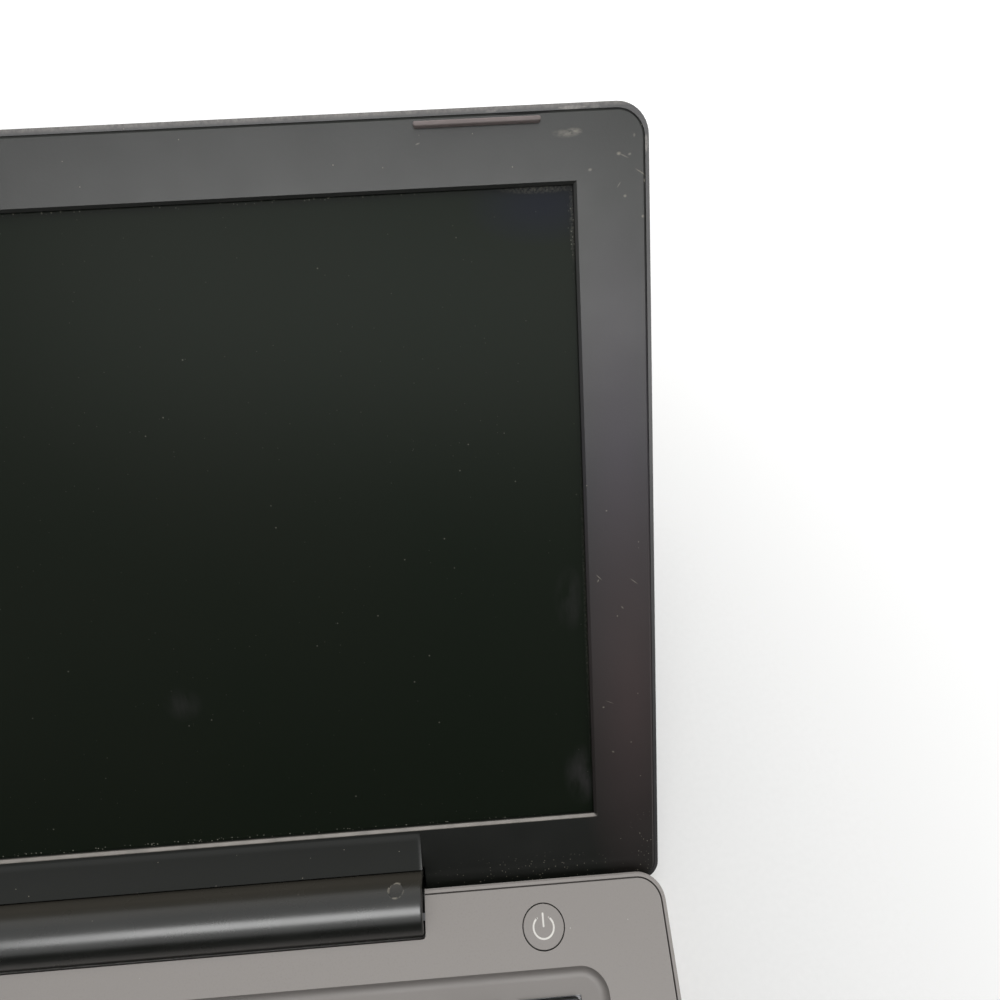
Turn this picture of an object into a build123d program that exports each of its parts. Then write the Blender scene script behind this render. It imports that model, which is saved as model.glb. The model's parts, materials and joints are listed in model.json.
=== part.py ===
from build123d import *
from math import cos, radians, sin, sqrt, tan
import os

# A small clamshell laptop with a wide central hinge barrel, shown open.
# Lengths are in millimetres. X runs along the hinge, the front faces -Y and Z is up.
# The feet stand on Z = 0, and the origin is below the middle of the open machine.
# A value named _AHEAD or _ROW is measured forward from the hinge axis, one named _FRONT
# from the base's front edge back, and one named _SIDE from the machine's side inward.

# Overall sizes
BODY_WIDTH = 288.0
LID_OPEN_ANGLE = 139.0  # between the deck and the screen, as the machine is shown
CLOSED_GAP = 2.0  # air between the bezel and the deck when the lid is shut
FOOT_HEIGHT = 1.3
DECK_TOP = 14.0  # height of the deck above the table
AXIS_BELOW_DECK = 1.5
BASE_BEYOND_LID = 0.9  # the base reaches this much further forward than the shut lid
NOSE_BACK = 2.7  # from the hinge axis back to the base's rear edge

# Base shells
BASE_CORNER = 6.5
BASE_WALL = 2.2
FLOOR_THICK = 1.6
BOTTOM_ROUND = 3.0
RIM_EDGE = 0.4
RIM_WIDTH = 0.85  # visible top of the side wall, outside the deck cover
REAR_RIM_WIDTH = 1.05
SEAM_GAP = 0.35
REAR_WALL_AHEAD = 0.5  # the rear wall below the nose stands forward, for the lid's lower edge
NOSE_DROP = 2.7
NOSE_ROUND = 2.2
NOTCH_WALL = 1.6
DECK_THICK = 1.8
FIT_GAP = 0.1  # between fixed pieces that are seated side by side
RUN_GAP = 0.35  # between a moving piece and the hole round it
SPARE = 1.0  # how far a cut runs on past the piece that it cuts

# Keyboard
RECESS_SIDE = 16.2
RECESS_AHEAD = 15.85
RECESS_CORNER = 6.3
RECESS_DEPTH = 1.8
RECESS_MARGIN = 6.1  # from the recess edge to the first and last rows of keys
KEYS_MARGIN = 6.8  # from the recess edge to the keys at the sides
RECESS_SLOPE = 25.0  # of the recess wall from upright, in degrees
RECESS_COVE = 2.4  # radius at the foot of the recess wall
PAN_THICK = 1.0
PAN_BORDER = 1.5
KEYS_ACROSS = 14
KEY_ROW_PITCH = 17.2
KEY_GAP = 2.4
KEY_CORNER = 0.8
KEY_EDGE = 0.4
KEY_BELOW_DECK = 0.3
KEY_TRAVEL = 1.2
FUNCTION_KEY_DEPTH = 9.2
KEY_PLATE_THICK = 0.5
KEY_PLATE_HOLE = (11.0, 4.0)
KEY_STOP_GAP = 0.2

# Touchpad
PAD_WIDTH = 96.0
PAD_FROM_PAN = 4.55
PAD_FRONT = 5.7
PAD_THICK = 1.4
PAD_ROUND = 3.0
PAD_BELOW_DECK = 0.3
PAD_PRESS = 0.5
PAD_EDGE = 0.3
TRAY_THICK = 0.8
TRAY_FLANGE = 2.0
TRAY_BEYOND_PAD = 3.0

# Power button
BUTTON_SIDE = 30.0
BUTTON_AHEAD = 7.35
BUTTON_RADIUS = 4.83
BUTTON_EDGE = 0.12
BUTTON_GAP = 0.25
BUTTON_EAR = 0.9
BUTTON_EAR_WIDTH = 4.0
BUTTON_EAR_THICK = 0.9
BUTTON_TRAVEL = 0.5
SWITCH_SIZE = 3.6
SWITCH_HEIGHT = 0.8
SWITCH_BOARD_WIDTH = 12.0
SWITCH_BOARD_DEPTH = 9.0
BOARD_THICK = 1.2

# Hinge
BARREL_RADIUS = 7.4
BARREL_SIDE = 58.25
BARREL_WALL = 1.4
BARREL_EDGE = 0.6
NOTCH_GAP = 0.5
NOTCH_SIDE_GAP = 0.25
NOTCH_CORNER = 0.8
PIN_RADIUS = 2.0
PIN_CLEARANCE = 0.05
PIN_BEYOND = 1.0  # the pin stands out past its knuckle
KNUCKLE_RADIUS = 4.2
KNUCKLE_FROM_END = 1.6  # from the barrel's end to the knuckle
KNUCKLE_LENGTH = 8.0
KNUCKLE_GAP = 1.0  # between the knuckle and the hinge arm
BRACKET_THICK = 1.6
BRACKET_DROP = 2.4  # from the hinge axis down to the top of the bracket's plate
BRACKET_AHEAD = 2.4
BRACKET_DEPTH = 9.6
BRACKET_SCREW_AHEAD = 7.0
NECK_HEIGHT = 3.5
NECK_GAP = 0.3
ARM_WIDTH = 14.0
ARM_PLATE_THICK = 1.0
ARM_LENGTH = 46.0
ARM_FOOT_UP = 0.4  # from the hinge axis up the lid to the arm's lower edge
ARM_FOOT_DEPTH = 4.0
ARM_HOLE_PITCH = 14.0
ARM_SLOT_GAP = 0.5
PLUG_FROM_END = 6.1
PLUG_RADIUS = 1.7
PLUG_GAP = 0.05
BARREL_FIT = 0.15  # between the barrel and the cradle that it lies in
PLUG_LEAN = 22.0  # behind upright, in degrees

# Lid
LID_BOTTOM = -2.2  # lower edge, measured up the lid from the hinge axis
SCREEN_BOTTOM = 17.2
SCREEN_HEIGHT = 145.5
SIDE_BEZEL = 15.0
TOP_BEZEL = 14.6
LID_CORNER = 6.5
LID_LOWER_CORNER = 5.0
LID_BACK_ROUND = 3.0
LID_BACK_THICK = 1.4
LID_WALL = 2.2
LID_LIP = 0.8
TOP_LIP_EXTRA = 0.4  # the lip is wider along the lid's upper edge
LIP_BELOW_BEZEL = 0.5
BEZEL_THICK = 1.2
BEZEL_EDGE = 0.5
SCREEN_EDGE_SLOPE = 60.0  # of the bevel round the opening from upright, in degrees
SCREEN_EDGE_DEEP = 0.36  # below the bevel the opening's wall is upright
RAMP_START = 16.2  # up the lid from the hinge axis
RAMP_HEIGHTS = (0.7, 1.85, 2.3)  # above the bezel: half way down, at its foot and at the barrel
RAMP_FOOT = 0.75  # from the barrel up to the ramp's foot
RAMP_END_RUN = (-0.87, 0.5)  # direction of the ramp where it ends
RAMP_ROOT = 0.2
RAMP_SEAM = 0.45  # open joint between the ramp and the barrel
PANEL_OVERLAP = 4.5
PANEL_THICK = 2.6
PANEL_BACK_GAP = 0.2
BUMPER_SIDE = 21.9
BUMPER_LENGTH = 25.2
BUMPER_WIDTH = 1.0
BUMPER_FROM_TOP = 3.0
BUMPER_SHUT_GAP = 0.3
CAMERA_WINDOW = 2.4
CAMERA_BOARD = (38.0, 5.6, 1.0)
CAMERA_BLOCK = 4.2
WINDOW_SUNK = 0.1
WINDOW_THICK = 0.8
ANTENNA_X = 70.0
ANTENNA_SIZE = (30.0, 5.0, 0.6)

# Fasteners, feet and what the base holds
SCREW_RADIUS = 1.0
SCREW_HEAD = 2.0
SCREW_HEAD_DEEP = 1.2
SCREW_CLEARANCE = 0.1
BOSS_RADIUS = 3.0
BOSS_SIDES = 6
DECK_BOSS_HEIGHT = 4.0
SCREW_TIP_GAP = 1.0
SCREW_SIDE = 10.0
SCREW_REAR_ROW = 10.2
SCREW_MIDDLE_ROW = 92.0
SCREW_FRONT = 11.2
SCREW_FROM_PAD = 14.0
SCREW_FROM_PAD_FRONT = 9.7
FOOT_SIZE = (34.0, 9.0)
FOOT_SIDE = 32.0
FOOT_REAR_ROW = 12.5
FOOT_FRONT = 13.2
MAIN_BOARD_RISE = 1.0
MAIN_BOARD_REAR_ROW = 16.5
MAIN_BOARD_DEPTH = 61.5
MAIN_BOARD_RIGHT = 60.0
SIDE_BOARD_WIDTH = 37.7
SIDE_BOARD_REAR_ROW = 34.0
SIDE_BOARD_DEPTH = 51.0
POST_INSET = 8.0  # from a board's edges to the posts that it rests on
CHIP_HEIGHT = 1.5
PROCESSOR_X = -40.0
PROCESSOR_ROW = 48.0
PROCESSOR_SIZE = (24.0, 20.0)
MEMORY_X = -78.0
MEMORY_PITCH = 13.0
MEMORY_SIZE = (12.0, 9.0)
CONTROLLER_X = -4.0
CONTROLLER_ROW = 26.0
CONTROLLER_SIZE = 14.0
LOW_CHIP_HEIGHT = 1.0
CARD_X = 30.0
CARD_ROW = 27.0
CARD_SIZE = (22.0, 32.0, 0.8)
CARD_SCREW_INSET = 3.0
CARD_SOCKET_DEPTH = 5.0
CARD_SHIELD_INSET = (2.0, 7.0)
SPREADER_SIZE = (60.0, 34.0, 0.8)
SPREADER_LIP = 0.8
BATTERY_SIDE = 51.0
BATTERY_FRONT = 38.2
BATTERY_FROM_BOARD = 6.0
BATTERY_GAP = 0.9  # below the keyboard plate
BATTERY_CELLS = 3
BATTERY_GROOVE = (1.6, 0.8)
BATTERY_GROOVE_END = 6.0
BATTERY_CORNER = 2.0
RIB_HEIGHT = 2.0
RIB_THICK = 1.0
RIB_END = 8.0
SPEAKER_SIZE = (28.0, 15.0, 4.6)
SPEAKER_SIDE = 32.0
SPEAKER_FRONT = 30.2
SPEAKER_RIM = (3.0, 2.0)
SPEAKER_CONE_DEEP = 1.2
SPEAKER_SLOTS = 6
SPEAKER_SLOT_PITCH = 3.2
SPEAKER_SLOT = (1.3, 9.0)
PORT_FLUSH = 0.3
PORT_CORNER = 0.6
PORT_BACK = 1.5
INLET_BORE = 2.75
INLET_PIN = 0.85
HEADSET_BORE = 1.8
CARD_SLOT_WALL = 0.65

# Keyboard layout: the rows from the back to the front, each key with its group and width
KEY_ROWS = [
    [("number_keys", 0.8)] + [("number_keys", 1.0)] * 12 + [("backspace_key", 1.2)],
    [("upper_letter_keys", 1.2)] + [("upper_letter_keys", 1.0)] * 12 + [("upper_letter_keys", 0.8)],
    [("home_letter_keys", 1.5)] + [("home_letter_keys", 1.0)] * 11 + [("enter_key", 1.5)],
    [("left_shift_key", 2.0)] + [("lower_letter_keys", 1.0)] * 10 + [("right_shift_key", 2.0)],
    [("bottom_row_keys", 1.2), ("bottom_row_keys", 1.0), ("bottom_row_keys", 1.0)]
    + [("space_bar", 5.6), ("bottom_row_keys", 1.2), ("bottom_row_keys", 1.0)]
    + [("arrow_left_key", 1.0), ("arrow_up_and_down", 1.0), ("arrow_right_key", 1.0)],
]

# Values that follow from the sizes above
HALF_WIDTH = BODY_WIDTH / 2
LID_THICK = (
    BEZEL_THICK + FIT_GAP + PANEL_THICK + PANEL_BACK_GAP + ARM_PLATE_THICK + FIT_GAP + LID_BACK_THICK
)
LEAN_COS = -cos(radians(LID_OPEN_ANGLE))
LEAN_SIN = sin(radians(LID_OPEN_ANGLE))
BEZEL_FACE = -(AXIS_BELOW_DECK + CLOSED_GAP)  # across the lid, towards the reader
LID_BACK = BEZEL_FACE - LID_THICK
SCREEN_TOP = SCREEN_BOTTOM + SCREEN_HEIGHT
LID_TOP = SCREEN_TOP + TOP_BEZEL
SCREEN_WIDTH = BODY_WIDTH - 2 * SIDE_BEZEL
CAMERA_UP = LID_TOP - TOP_BEZEL / 2
BASE_FRONT = LID_TOP + BASE_BEYOND_LID
LID_REACH = LEAN_COS * (LID_TOP - LID_BACK_ROUND) - LEAN_SIN * (LID_BACK + LID_BACK_ROUND) + LID_BACK_ROUND
AXIS_Y = (BASE_FRONT - LID_REACH) / 2
AXIS_Z = DECK_TOP - AXIS_BELOW_DECK
FLOOR_TOP = FOOT_HEIGHT + FLOOR_THICK
DECK_UNDER = DECK_TOP - DECK_THICK
NOTCH_FRONT = BARREL_RADIUS + NOTCH_GAP
BARREL_HALF = HALF_WIDTH - BARREL_SIDE
NOTCH_HALF = BARREL_HALF + NOTCH_SIDE_GAP
KNUCKLE_IN = BARREL_HALF - KNUCKLE_FROM_END - KNUCKLE_LENGTH
ARM_INNER = KNUCKLE_IN - KNUCKLE_GAP - ARM_WIDTH
ARM_MIDDLE = ARM_INNER + ARM_WIDTH / 2
PLUG_X = BARREL_HALF - PLUG_FROM_END
BUTTON_X = HALF_WIDTH - BUTTON_SIDE
BRACKET_IN = NOTCH_HALF + NOTCH_WALL + FIT_GAP
BRACKET_OUT = BUTTON_X - SWITCH_BOARD_WIDTH / 2 - FIT_GAP
BRACKET_LENGTH = BRACKET_OUT - BRACKET_IN
NECK_MIDDLE = (-BRACKET_AHEAD - BRACKET_THICK / 2, NECK_HEIGHT / 2 - BRACKET_DROP - BRACKET_THICK)
PAN_TOP = DECK_TOP - RECESS_DEPTH
PAN_UNDER = PAN_TOP - PAN_THICK
KEY_UNDER = PAN_UNDER + FIT_GAP
KEY_HEIGHT = DECK_TOP - KEY_BELOW_DECK - KEY_UNDER
KEY_PLATE_TOP = KEY_UNDER - KEY_TRAVEL - KEY_STOP_GAP
RECESS_HALF = HALF_WIDTH - RECESS_SIDE
KEYS_WIDE = 2 * (RECESS_HALF - KEYS_MARGIN) + KEY_GAP
KEY_PITCH = KEYS_WIDE / KEYS_ACROSS
KEY_SIZE = (KEY_PITCH - KEY_GAP, KEY_ROW_PITCH - KEY_GAP)
KEYS_REAR = RECESS_AHEAD + RECESS_MARGIN
LETTER_ROWS_REAR = KEYS_REAR + FUNCTION_KEY_DEPTH + KEY_GAP
KEYS_FRONT = LETTER_ROWS_REAR + len(KEY_ROWS) * KEY_ROW_PITCH - KEY_GAP
RECESS_FRONT = KEYS_FRONT + RECESS_MARGIN
PAN_HALF = RECESS_HALF + PAN_BORDER
PAN_REAR = RECESS_AHEAD - PAN_BORDER
PAN_FRONT = RECESS_FRONT + PAN_BORDER
PAD_REAR = PAN_FRONT + PAD_FROM_PAN
PAD_DEPTH = BASE_FRONT - PAD_FRONT - PAD_REAR
PAD_MIDDLE = PAD_REAR + PAD_DEPTH / 2
PAD_TOP = DECK_TOP - PAD_BELOW_DECK
TRAY_TOP = PAD_TOP - PAD_THICK - PAD_PRESS - KEY_STOP_GAP
MAIN_BOARD_UNDER = FLOOR_TOP + MAIN_BOARD_RISE
MAIN_BOARD_TOP = MAIN_BOARD_UNDER + BOARD_THICK
BASE_INNER = HALF_WIDTH - BASE_WALL
BOARD_SIDE = BASE_INNER - FIT_GAP
SIDE_BOARD_LEFT = BOARD_SIDE - SIDE_BOARD_WIDTH
MAIN_BOARD_FRONT_ROW = MAIN_BOARD_REAR_ROW + MAIN_BOARD_DEPTH
SIDE_BOARD_FRONT_ROW = SIDE_BOARD_REAR_ROW + SIDE_BOARD_DEPTH
CARD_UNDER = MAIN_BOARD_TOP + CHIP_HEIGHT
BATTERY_HALF = HALF_WIDTH - BATTERY_SIDE
BATTERY_ROWS = (MAIN_BOARD_FRONT_ROW + BATTERY_FROM_BOARD, BASE_FRONT - BATTERY_FRONT)
BATTERY_DEPTH = BATTERY_ROWS[1] - BATTERY_ROWS[0]
BATTERY_TOP = KEY_PLATE_TOP - KEY_PLATE_THICK - BATTERY_GAP
SPEAKER_X = HALF_WIDTH - SPEAKER_SIDE
SPEAKER_ROW = BASE_FRONT - SPEAKER_FRONT
FOOT_X = HALF_WIDTH - FOOT_SIDE
BRACKET_TOP = AXIS_Z - BRACKET_DROP
BRACKET_UNDER = BRACKET_TOP - BRACKET_THICK
REAR_INNER = REAR_WALL_AHEAD + NOTCH_WALL
ARM_PLATE_UNDER = LID_BACK + LID_BACK_THICK + FIT_GAP
PANEL_FRONT = BEZEL_FACE - BEZEL_THICK - FIT_GAP
BUMPER_HEIGHT = CLOSED_GAP - BUMPER_SHUT_GAP
SWITCH_TOP = DECK_UNDER - RUN_GAP - BUTTON_EAR_THICK - BUTTON_TRAVEL - KEY_STOP_GAP
SWITCH_BOARD_TOP = SWITCH_TOP - SWITCH_HEIGHT

# The lid's own plane: its origin is on the hinge axis, X along the hinge, Y up the lid,
# and its normal points out of the screen.
LID_PLANE = Plane(
    origin=(0, AXIS_Y, AXIS_Z),
    x_dir=(1, 0, 0),
    z_dir=(0, -LEAN_SIN, LEAN_COS),
)
# A plane across the hinge, with Y forward-and-back and Z up, and its normal along X
SIDE_PLANE = Plane(origin=(0, AXIS_Y, AXIS_Z), x_dir=(0, 1, 0), z_dir=(1, 0, 0))
# The same plane in the lid's directions: its X runs up the lid and its Y out of the screen
LID_SIDE_PLANE = Plane(
    origin=(0, AXIS_Y, AXIS_Z),
    x_dir=(0, LEAN_COS, LEAN_SIN),
    z_dir=(1, 0, 0),
)


def ahead(distance):
    """Y of a place that lies this far in front of the hinge axis."""
    return AXIS_Y - distance


def plan_rectangle(left, right, rear, front, corner=0.0, mode=Mode.ADD):
    """A rectangle seen from above, its rear and front measured ahead of the hinge axis."""
    middle = ((left + right) / 2, ahead((rear + front) / 2))
    with Locations(middle):
        if corner > 0:
            RectangleRounded(right - left, front - rear, corner, mode=mode)
        else:
            Rectangle(right - left, front - rear, mode=mode)


def lid_rectangle(left, right, low, high, corner=0.0, mode=Mode.ADD):
    """A rectangle on the lid, its edges measured up the lid from the hinge axis."""
    with Locations(((left + right) / 2, (low + high) / 2)):
        if corner > 0:
            RectangleRounded(right - left, high - low, corner, mode=mode)
        else:
            Rectangle(right - left, high - low, mode=mode)


def lid_outline(inset, more_at_top=0.0):
    """The lid's outline, drawn inside its edge by this inset, and by more at its upper edge."""
    left = -HALF_WIDTH + inset
    right = HALF_WIDTH - inset
    low = LID_BOTTOM + inset
    high = LID_TOP - inset - more_at_top
    upper = LID_CORNER - inset
    lower = LID_LOWER_CORNER - inset
    with BuildLine() as outline:
        Line((left + lower, low), (right - lower, low))
        RadiusArc((right - lower, low), (right, low + lower), -lower)
        Line((right, low + lower), (right, high - upper))
        RadiusArc((right, high - upper), (right - upper, high), -upper)
        Line((right - upper, high), (left + upper, high))
        RadiusArc((left + upper, high), (left, high - upper), -upper)
        Line((left, high - upper), (left, low + lower))
        RadiusArc((left, low + lower), (left + lower, low), -lower)
    make_face(outline.edges())


def finish(piece, name):
    """Name a finished piece and write it to its own file."""
    piece.part.label = name
    export_step(piece.part, f"parts/{name}.step")


os.makedirs("parts", exist_ok=True)

# Sockets in the side walls: where each is, and the size of its metal shell
SOCKETS = {
    "power_inlet": {"side": -1, "ahead": 25.0, "width": 8.6, "height": 6.4, "depth": 13.0},
    "video_port": {"side": -1, "ahead": 43.0, "width": 15.2, "height": 5.8, "depth": 12.0},
    "usb_port_left": {"side": -1, "ahead": 64.0, "width": 13.3, "height": 5.9, "depth": 14.0},
    "usb_port_right": {"side": 1, "ahead": 43.0, "width": 13.3, "height": 5.9, "depth": 14.0},
    "headset_socket": {"side": 1, "ahead": 60.0, "width": 7.0, "height": 5.6, "depth": 13.0},
    "card_slot": {"side": 1, "ahead": 76.0, "width": 13.4, "height": 2.2, "depth": 14.0},
}
SCREW_PLACES = [
    (side * (HALF_WIDTH - SCREW_SIDE), ahead(row))
    for side in (-1, 1)
    for row in (SCREW_REAR_ROW, SCREW_MIDDLE_ROW, BASE_FRONT - SCREW_FRONT)
]
SCREW_PLACES += [
    (side * (PAD_WIDTH / 2 + SCREW_FROM_PAD), ahead(BASE_FRONT - SCREW_FROM_PAD_FRONT)) for side in (-1, 1)
]
BRACKET_SCREWS = [
    (BRACKET_IN + share * BRACKET_LENGTH, ahead(BRACKET_SCREW_AHEAD)) for share in (0.25, 0.75)
]
BRACKET_POSTS = [(side * x, y) for side in (-1, 1) for x, y in BRACKET_SCREWS]
BOARD_POSTS = [
    (x, ahead(row))
    for x in (POST_INSET - BOARD_SIDE, MAIN_BOARD_RIGHT - POST_INSET)
    for row in (MAIN_BOARD_REAR_ROW + POST_INSET, MAIN_BOARD_FRONT_ROW - POST_INSET)
]
BOARD_POSTS += [
    (SIDE_BOARD_LEFT + POST_INSET, ahead(row))
    for row in (SIDE_BOARD_REAR_ROW + POST_INSET, SIDE_BOARD_FRONT_ROW - POST_INSET)
]


# Bottom cover: the floor, the side walls with their bright rim, and the rounded rear nose
with BuildPart() as bottom_cover:
    with BuildSketch(Plane.XY.offset(FOOT_HEIGHT)):
        plan_rectangle(-HALF_WIDTH, HALF_WIDTH, -NOSE_BACK, BASE_FRONT, BASE_CORNER)
    extrude(amount=DECK_TOP - FOOT_HEIGHT)
    fillet(bottom_cover.faces().sort_by(Axis.Z)[0].edges(), radius=BOTTOM_ROUND)
    chamfer(bottom_cover.faces().sort_by(Axis.Z)[-1].edges(), length=RIM_EDGE)
    # The inside, down to the floor
    with BuildSketch(Plane.XY.offset(FLOOR_TOP)):
        plan_rectangle(-BASE_INNER, BASE_INNER, REAR_INNER, BASE_FRONT - BASE_WALL, BASE_CORNER - BASE_WALL)
        plan_rectangle(
            -NOTCH_HALF - NOTCH_WALL,
            NOTCH_HALF + NOTCH_WALL,
            REAR_INNER - SPARE,
            NOTCH_FRONT + NOTCH_WALL,
            mode=Mode.SUBTRACT,
        )
    extrude(amount=DECK_TOP, mode=Mode.SUBTRACT)
    # The rebate that the deck cover drops into
    with BuildSketch(Plane.XY.offset(DECK_UNDER)):
        plan_rectangle(
            -HALF_WIDTH + RIM_WIDTH,
            HALF_WIDTH - RIM_WIDTH,
            REAR_RIM_WIDTH - NOSE_BACK,
            BASE_FRONT - RIM_WIDTH,
            BASE_CORNER - RIM_WIDTH,
        )
    extrude(amount=DECK_TOP, mode=Mode.SUBTRACT)
    # Below the nose the rear wall stands forward, so that the lid's lower edge can swing down
    with BuildSketch(SIDE_PLANE):
        with BuildLine():
            Polyline(
                (NOSE_BACK - NOSE_ROUND, -NOSE_DROP),
                (-REAR_WALL_AHEAD, -NOSE_DROP),
                (-REAR_WALL_AHEAD, -DECK_TOP),
                (NOSE_BACK + SPARE, -DECK_TOP),
                (NOSE_BACK + SPARE, NOSE_ROUND - NOSE_DROP),
                (NOSE_BACK, NOSE_ROUND - NOSE_DROP),
            )
            TangentArc(
                (NOSE_BACK - NOSE_ROUND, -NOSE_DROP),
                (NOSE_BACK, NOSE_ROUND - NOSE_DROP),
                tangent=(1, 0),
            )
        make_face()
    extrude(amount=HALF_WIDTH + SPARE, both=True, mode=Mode.SUBTRACT)
    # The notch for the hinge barrel
    with BuildSketch():
        plan_rectangle(-NOTCH_HALF, NOTCH_HALF, -NOSE_BACK - SPARE, NOTCH_FRONT, NOTCH_CORNER)
    extrude(amount=DECK_TOP + SPARE, mode=Mode.SUBTRACT)
    # Openings beside the notch for the necks of the hinge brackets
    with BuildSketch(SIDE_PLANE):
        with Locations(NECK_MIDDLE):
            Rectangle(BRACKET_THICK + 2 * NECK_GAP, NECK_HEIGHT + 2 * NECK_GAP)
    extrude(amount=NOTCH_HALF + NOTCH_WALL + SPARE, both=True, mode=Mode.SUBTRACT)
    # Posts for the cover screws, the boards and the hinge brackets
    with BuildSketch(Plane.XY.offset(FLOOR_TOP)):
        with Locations(*SCREW_PLACES):
            RegularPolygon(BOSS_RADIUS, BOSS_SIDES)
    extrude(amount=DECK_UNDER - DECK_BOSS_HEIGHT - FLOOR_TOP)
    with BuildSketch(Plane.XY.offset(FLOOR_TOP)):
        with Locations(*BOARD_POSTS):
            RegularPolygon(BOSS_RADIUS, BOSS_SIDES)
    extrude(amount=MAIN_BOARD_RISE)
    with BuildSketch(Plane.XY.offset(FLOOR_TOP)):
        with Locations(*BRACKET_POSTS):
            RegularPolygon(BOSS_RADIUS, BOSS_SIDES)
    extrude(amount=BRACKET_UNDER - FLOOR_TOP)
    with BuildSketch(Plane.XY.offset(FLOOR_TOP)):
        with Locations((BUTTON_X, ahead(BUTTON_AHEAD))):
            RegularPolygon(BOSS_RADIUS, BOSS_SIDES)
    extrude(amount=SWITCH_BOARD_TOP - BOARD_THICK - FLOOR_TOP)
    # Low ribs that keep the battery in its place
    with BuildSketch(Plane.XY.offset(FLOOR_TOP)):
        for side in (-1, 1):
            with Locations((side * (BATTERY_HALF + FIT_GAP + RIB_THICK / 2), ahead(sum(BATTERY_ROWS) / 2))):
                Rectangle(RIB_THICK, BATTERY_DEPTH - 2 * RIB_END)
    extrude(amount=RIB_HEIGHT)
    # Screw holes, with room for the heads below
    with Locations(*[Location((x, y, FOOT_HEIGHT), (180, 0, 0)) for x, y in SCREW_PLACES]):
        CounterBoreHole(
            radius=SCREW_RADIUS + SCREW_CLEARANCE,
            counter_bore_radius=SCREW_HEAD + SCREW_CLEARANCE,
            counter_bore_depth=SCREW_HEAD_DEEP,
            depth=DECK_UNDER - DECK_BOSS_HEIGHT - FOOT_HEIGHT,
        )
    # Openings for the sockets
    for socket in SOCKETS.values():
        with BuildSketch(Plane.XY.offset(MAIN_BOARD_TOP - FIT_GAP)):
            with Locations((socket["side"] * HALF_WIDTH, ahead(socket["ahead"]))):
                Rectangle(2 * (BASE_WALL + SPARE), socket["width"] + 2 * FIT_GAP)
        extrude(amount=socket["height"] + 2 * FIT_GAP, mode=Mode.SUBTRACT)
    # Slots in the floor below the speakers
    with BuildSketch(Plane.XY):
        for side in (-1, 1):
            with Locations((side * SPEAKER_X, ahead(SPEAKER_ROW))):
                with GridLocations(SPEAKER_SLOT_PITCH, 0, SPEAKER_SLOTS, 1):
                    Rectangle(*SPEAKER_SLOT)
    extrude(amount=FLOOR_TOP, mode=Mode.SUBTRACT)
finish(bottom_cover, "bottom_cover")


def key_places():
    """Every key as its group, its centre seen from above, its width and its depth."""
    places = []
    for column in range(KEYS_ACROSS):
        x = (column + 0.5) * KEY_PITCH - KEYS_WIDE / 2
        y = ahead(KEYS_REAR + FUNCTION_KEY_DEPTH / 2)
        places.append(("function_keys", x, y, KEY_SIZE[0], FUNCTION_KEY_DEPTH))
    for row, keys in enumerate(KEY_ROWS):
        left = -KEYS_WIDE / 2
        y = ahead(LETTER_ROWS_REAR + row * KEY_ROW_PITCH + KEY_SIZE[1] / 2)
        for group, share in keys:
            x = left + share * KEY_PITCH / 2
            width = share * KEY_PITCH - KEY_GAP
            left += share * KEY_PITCH
            if group == "arrow_up_and_down":
                half = (KEY_SIZE[1] - KEY_GAP / 2) / 2
                shift = (half + KEY_GAP / 2) / 2
                places.append(("arrow_up_key", x, y + shift, width, half))
                places.append(("arrow_down_key", x, y - shift, width, half))
            else:
                places.append((group, x, y, width, KEY_SIZE[1]))
    return places


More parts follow.
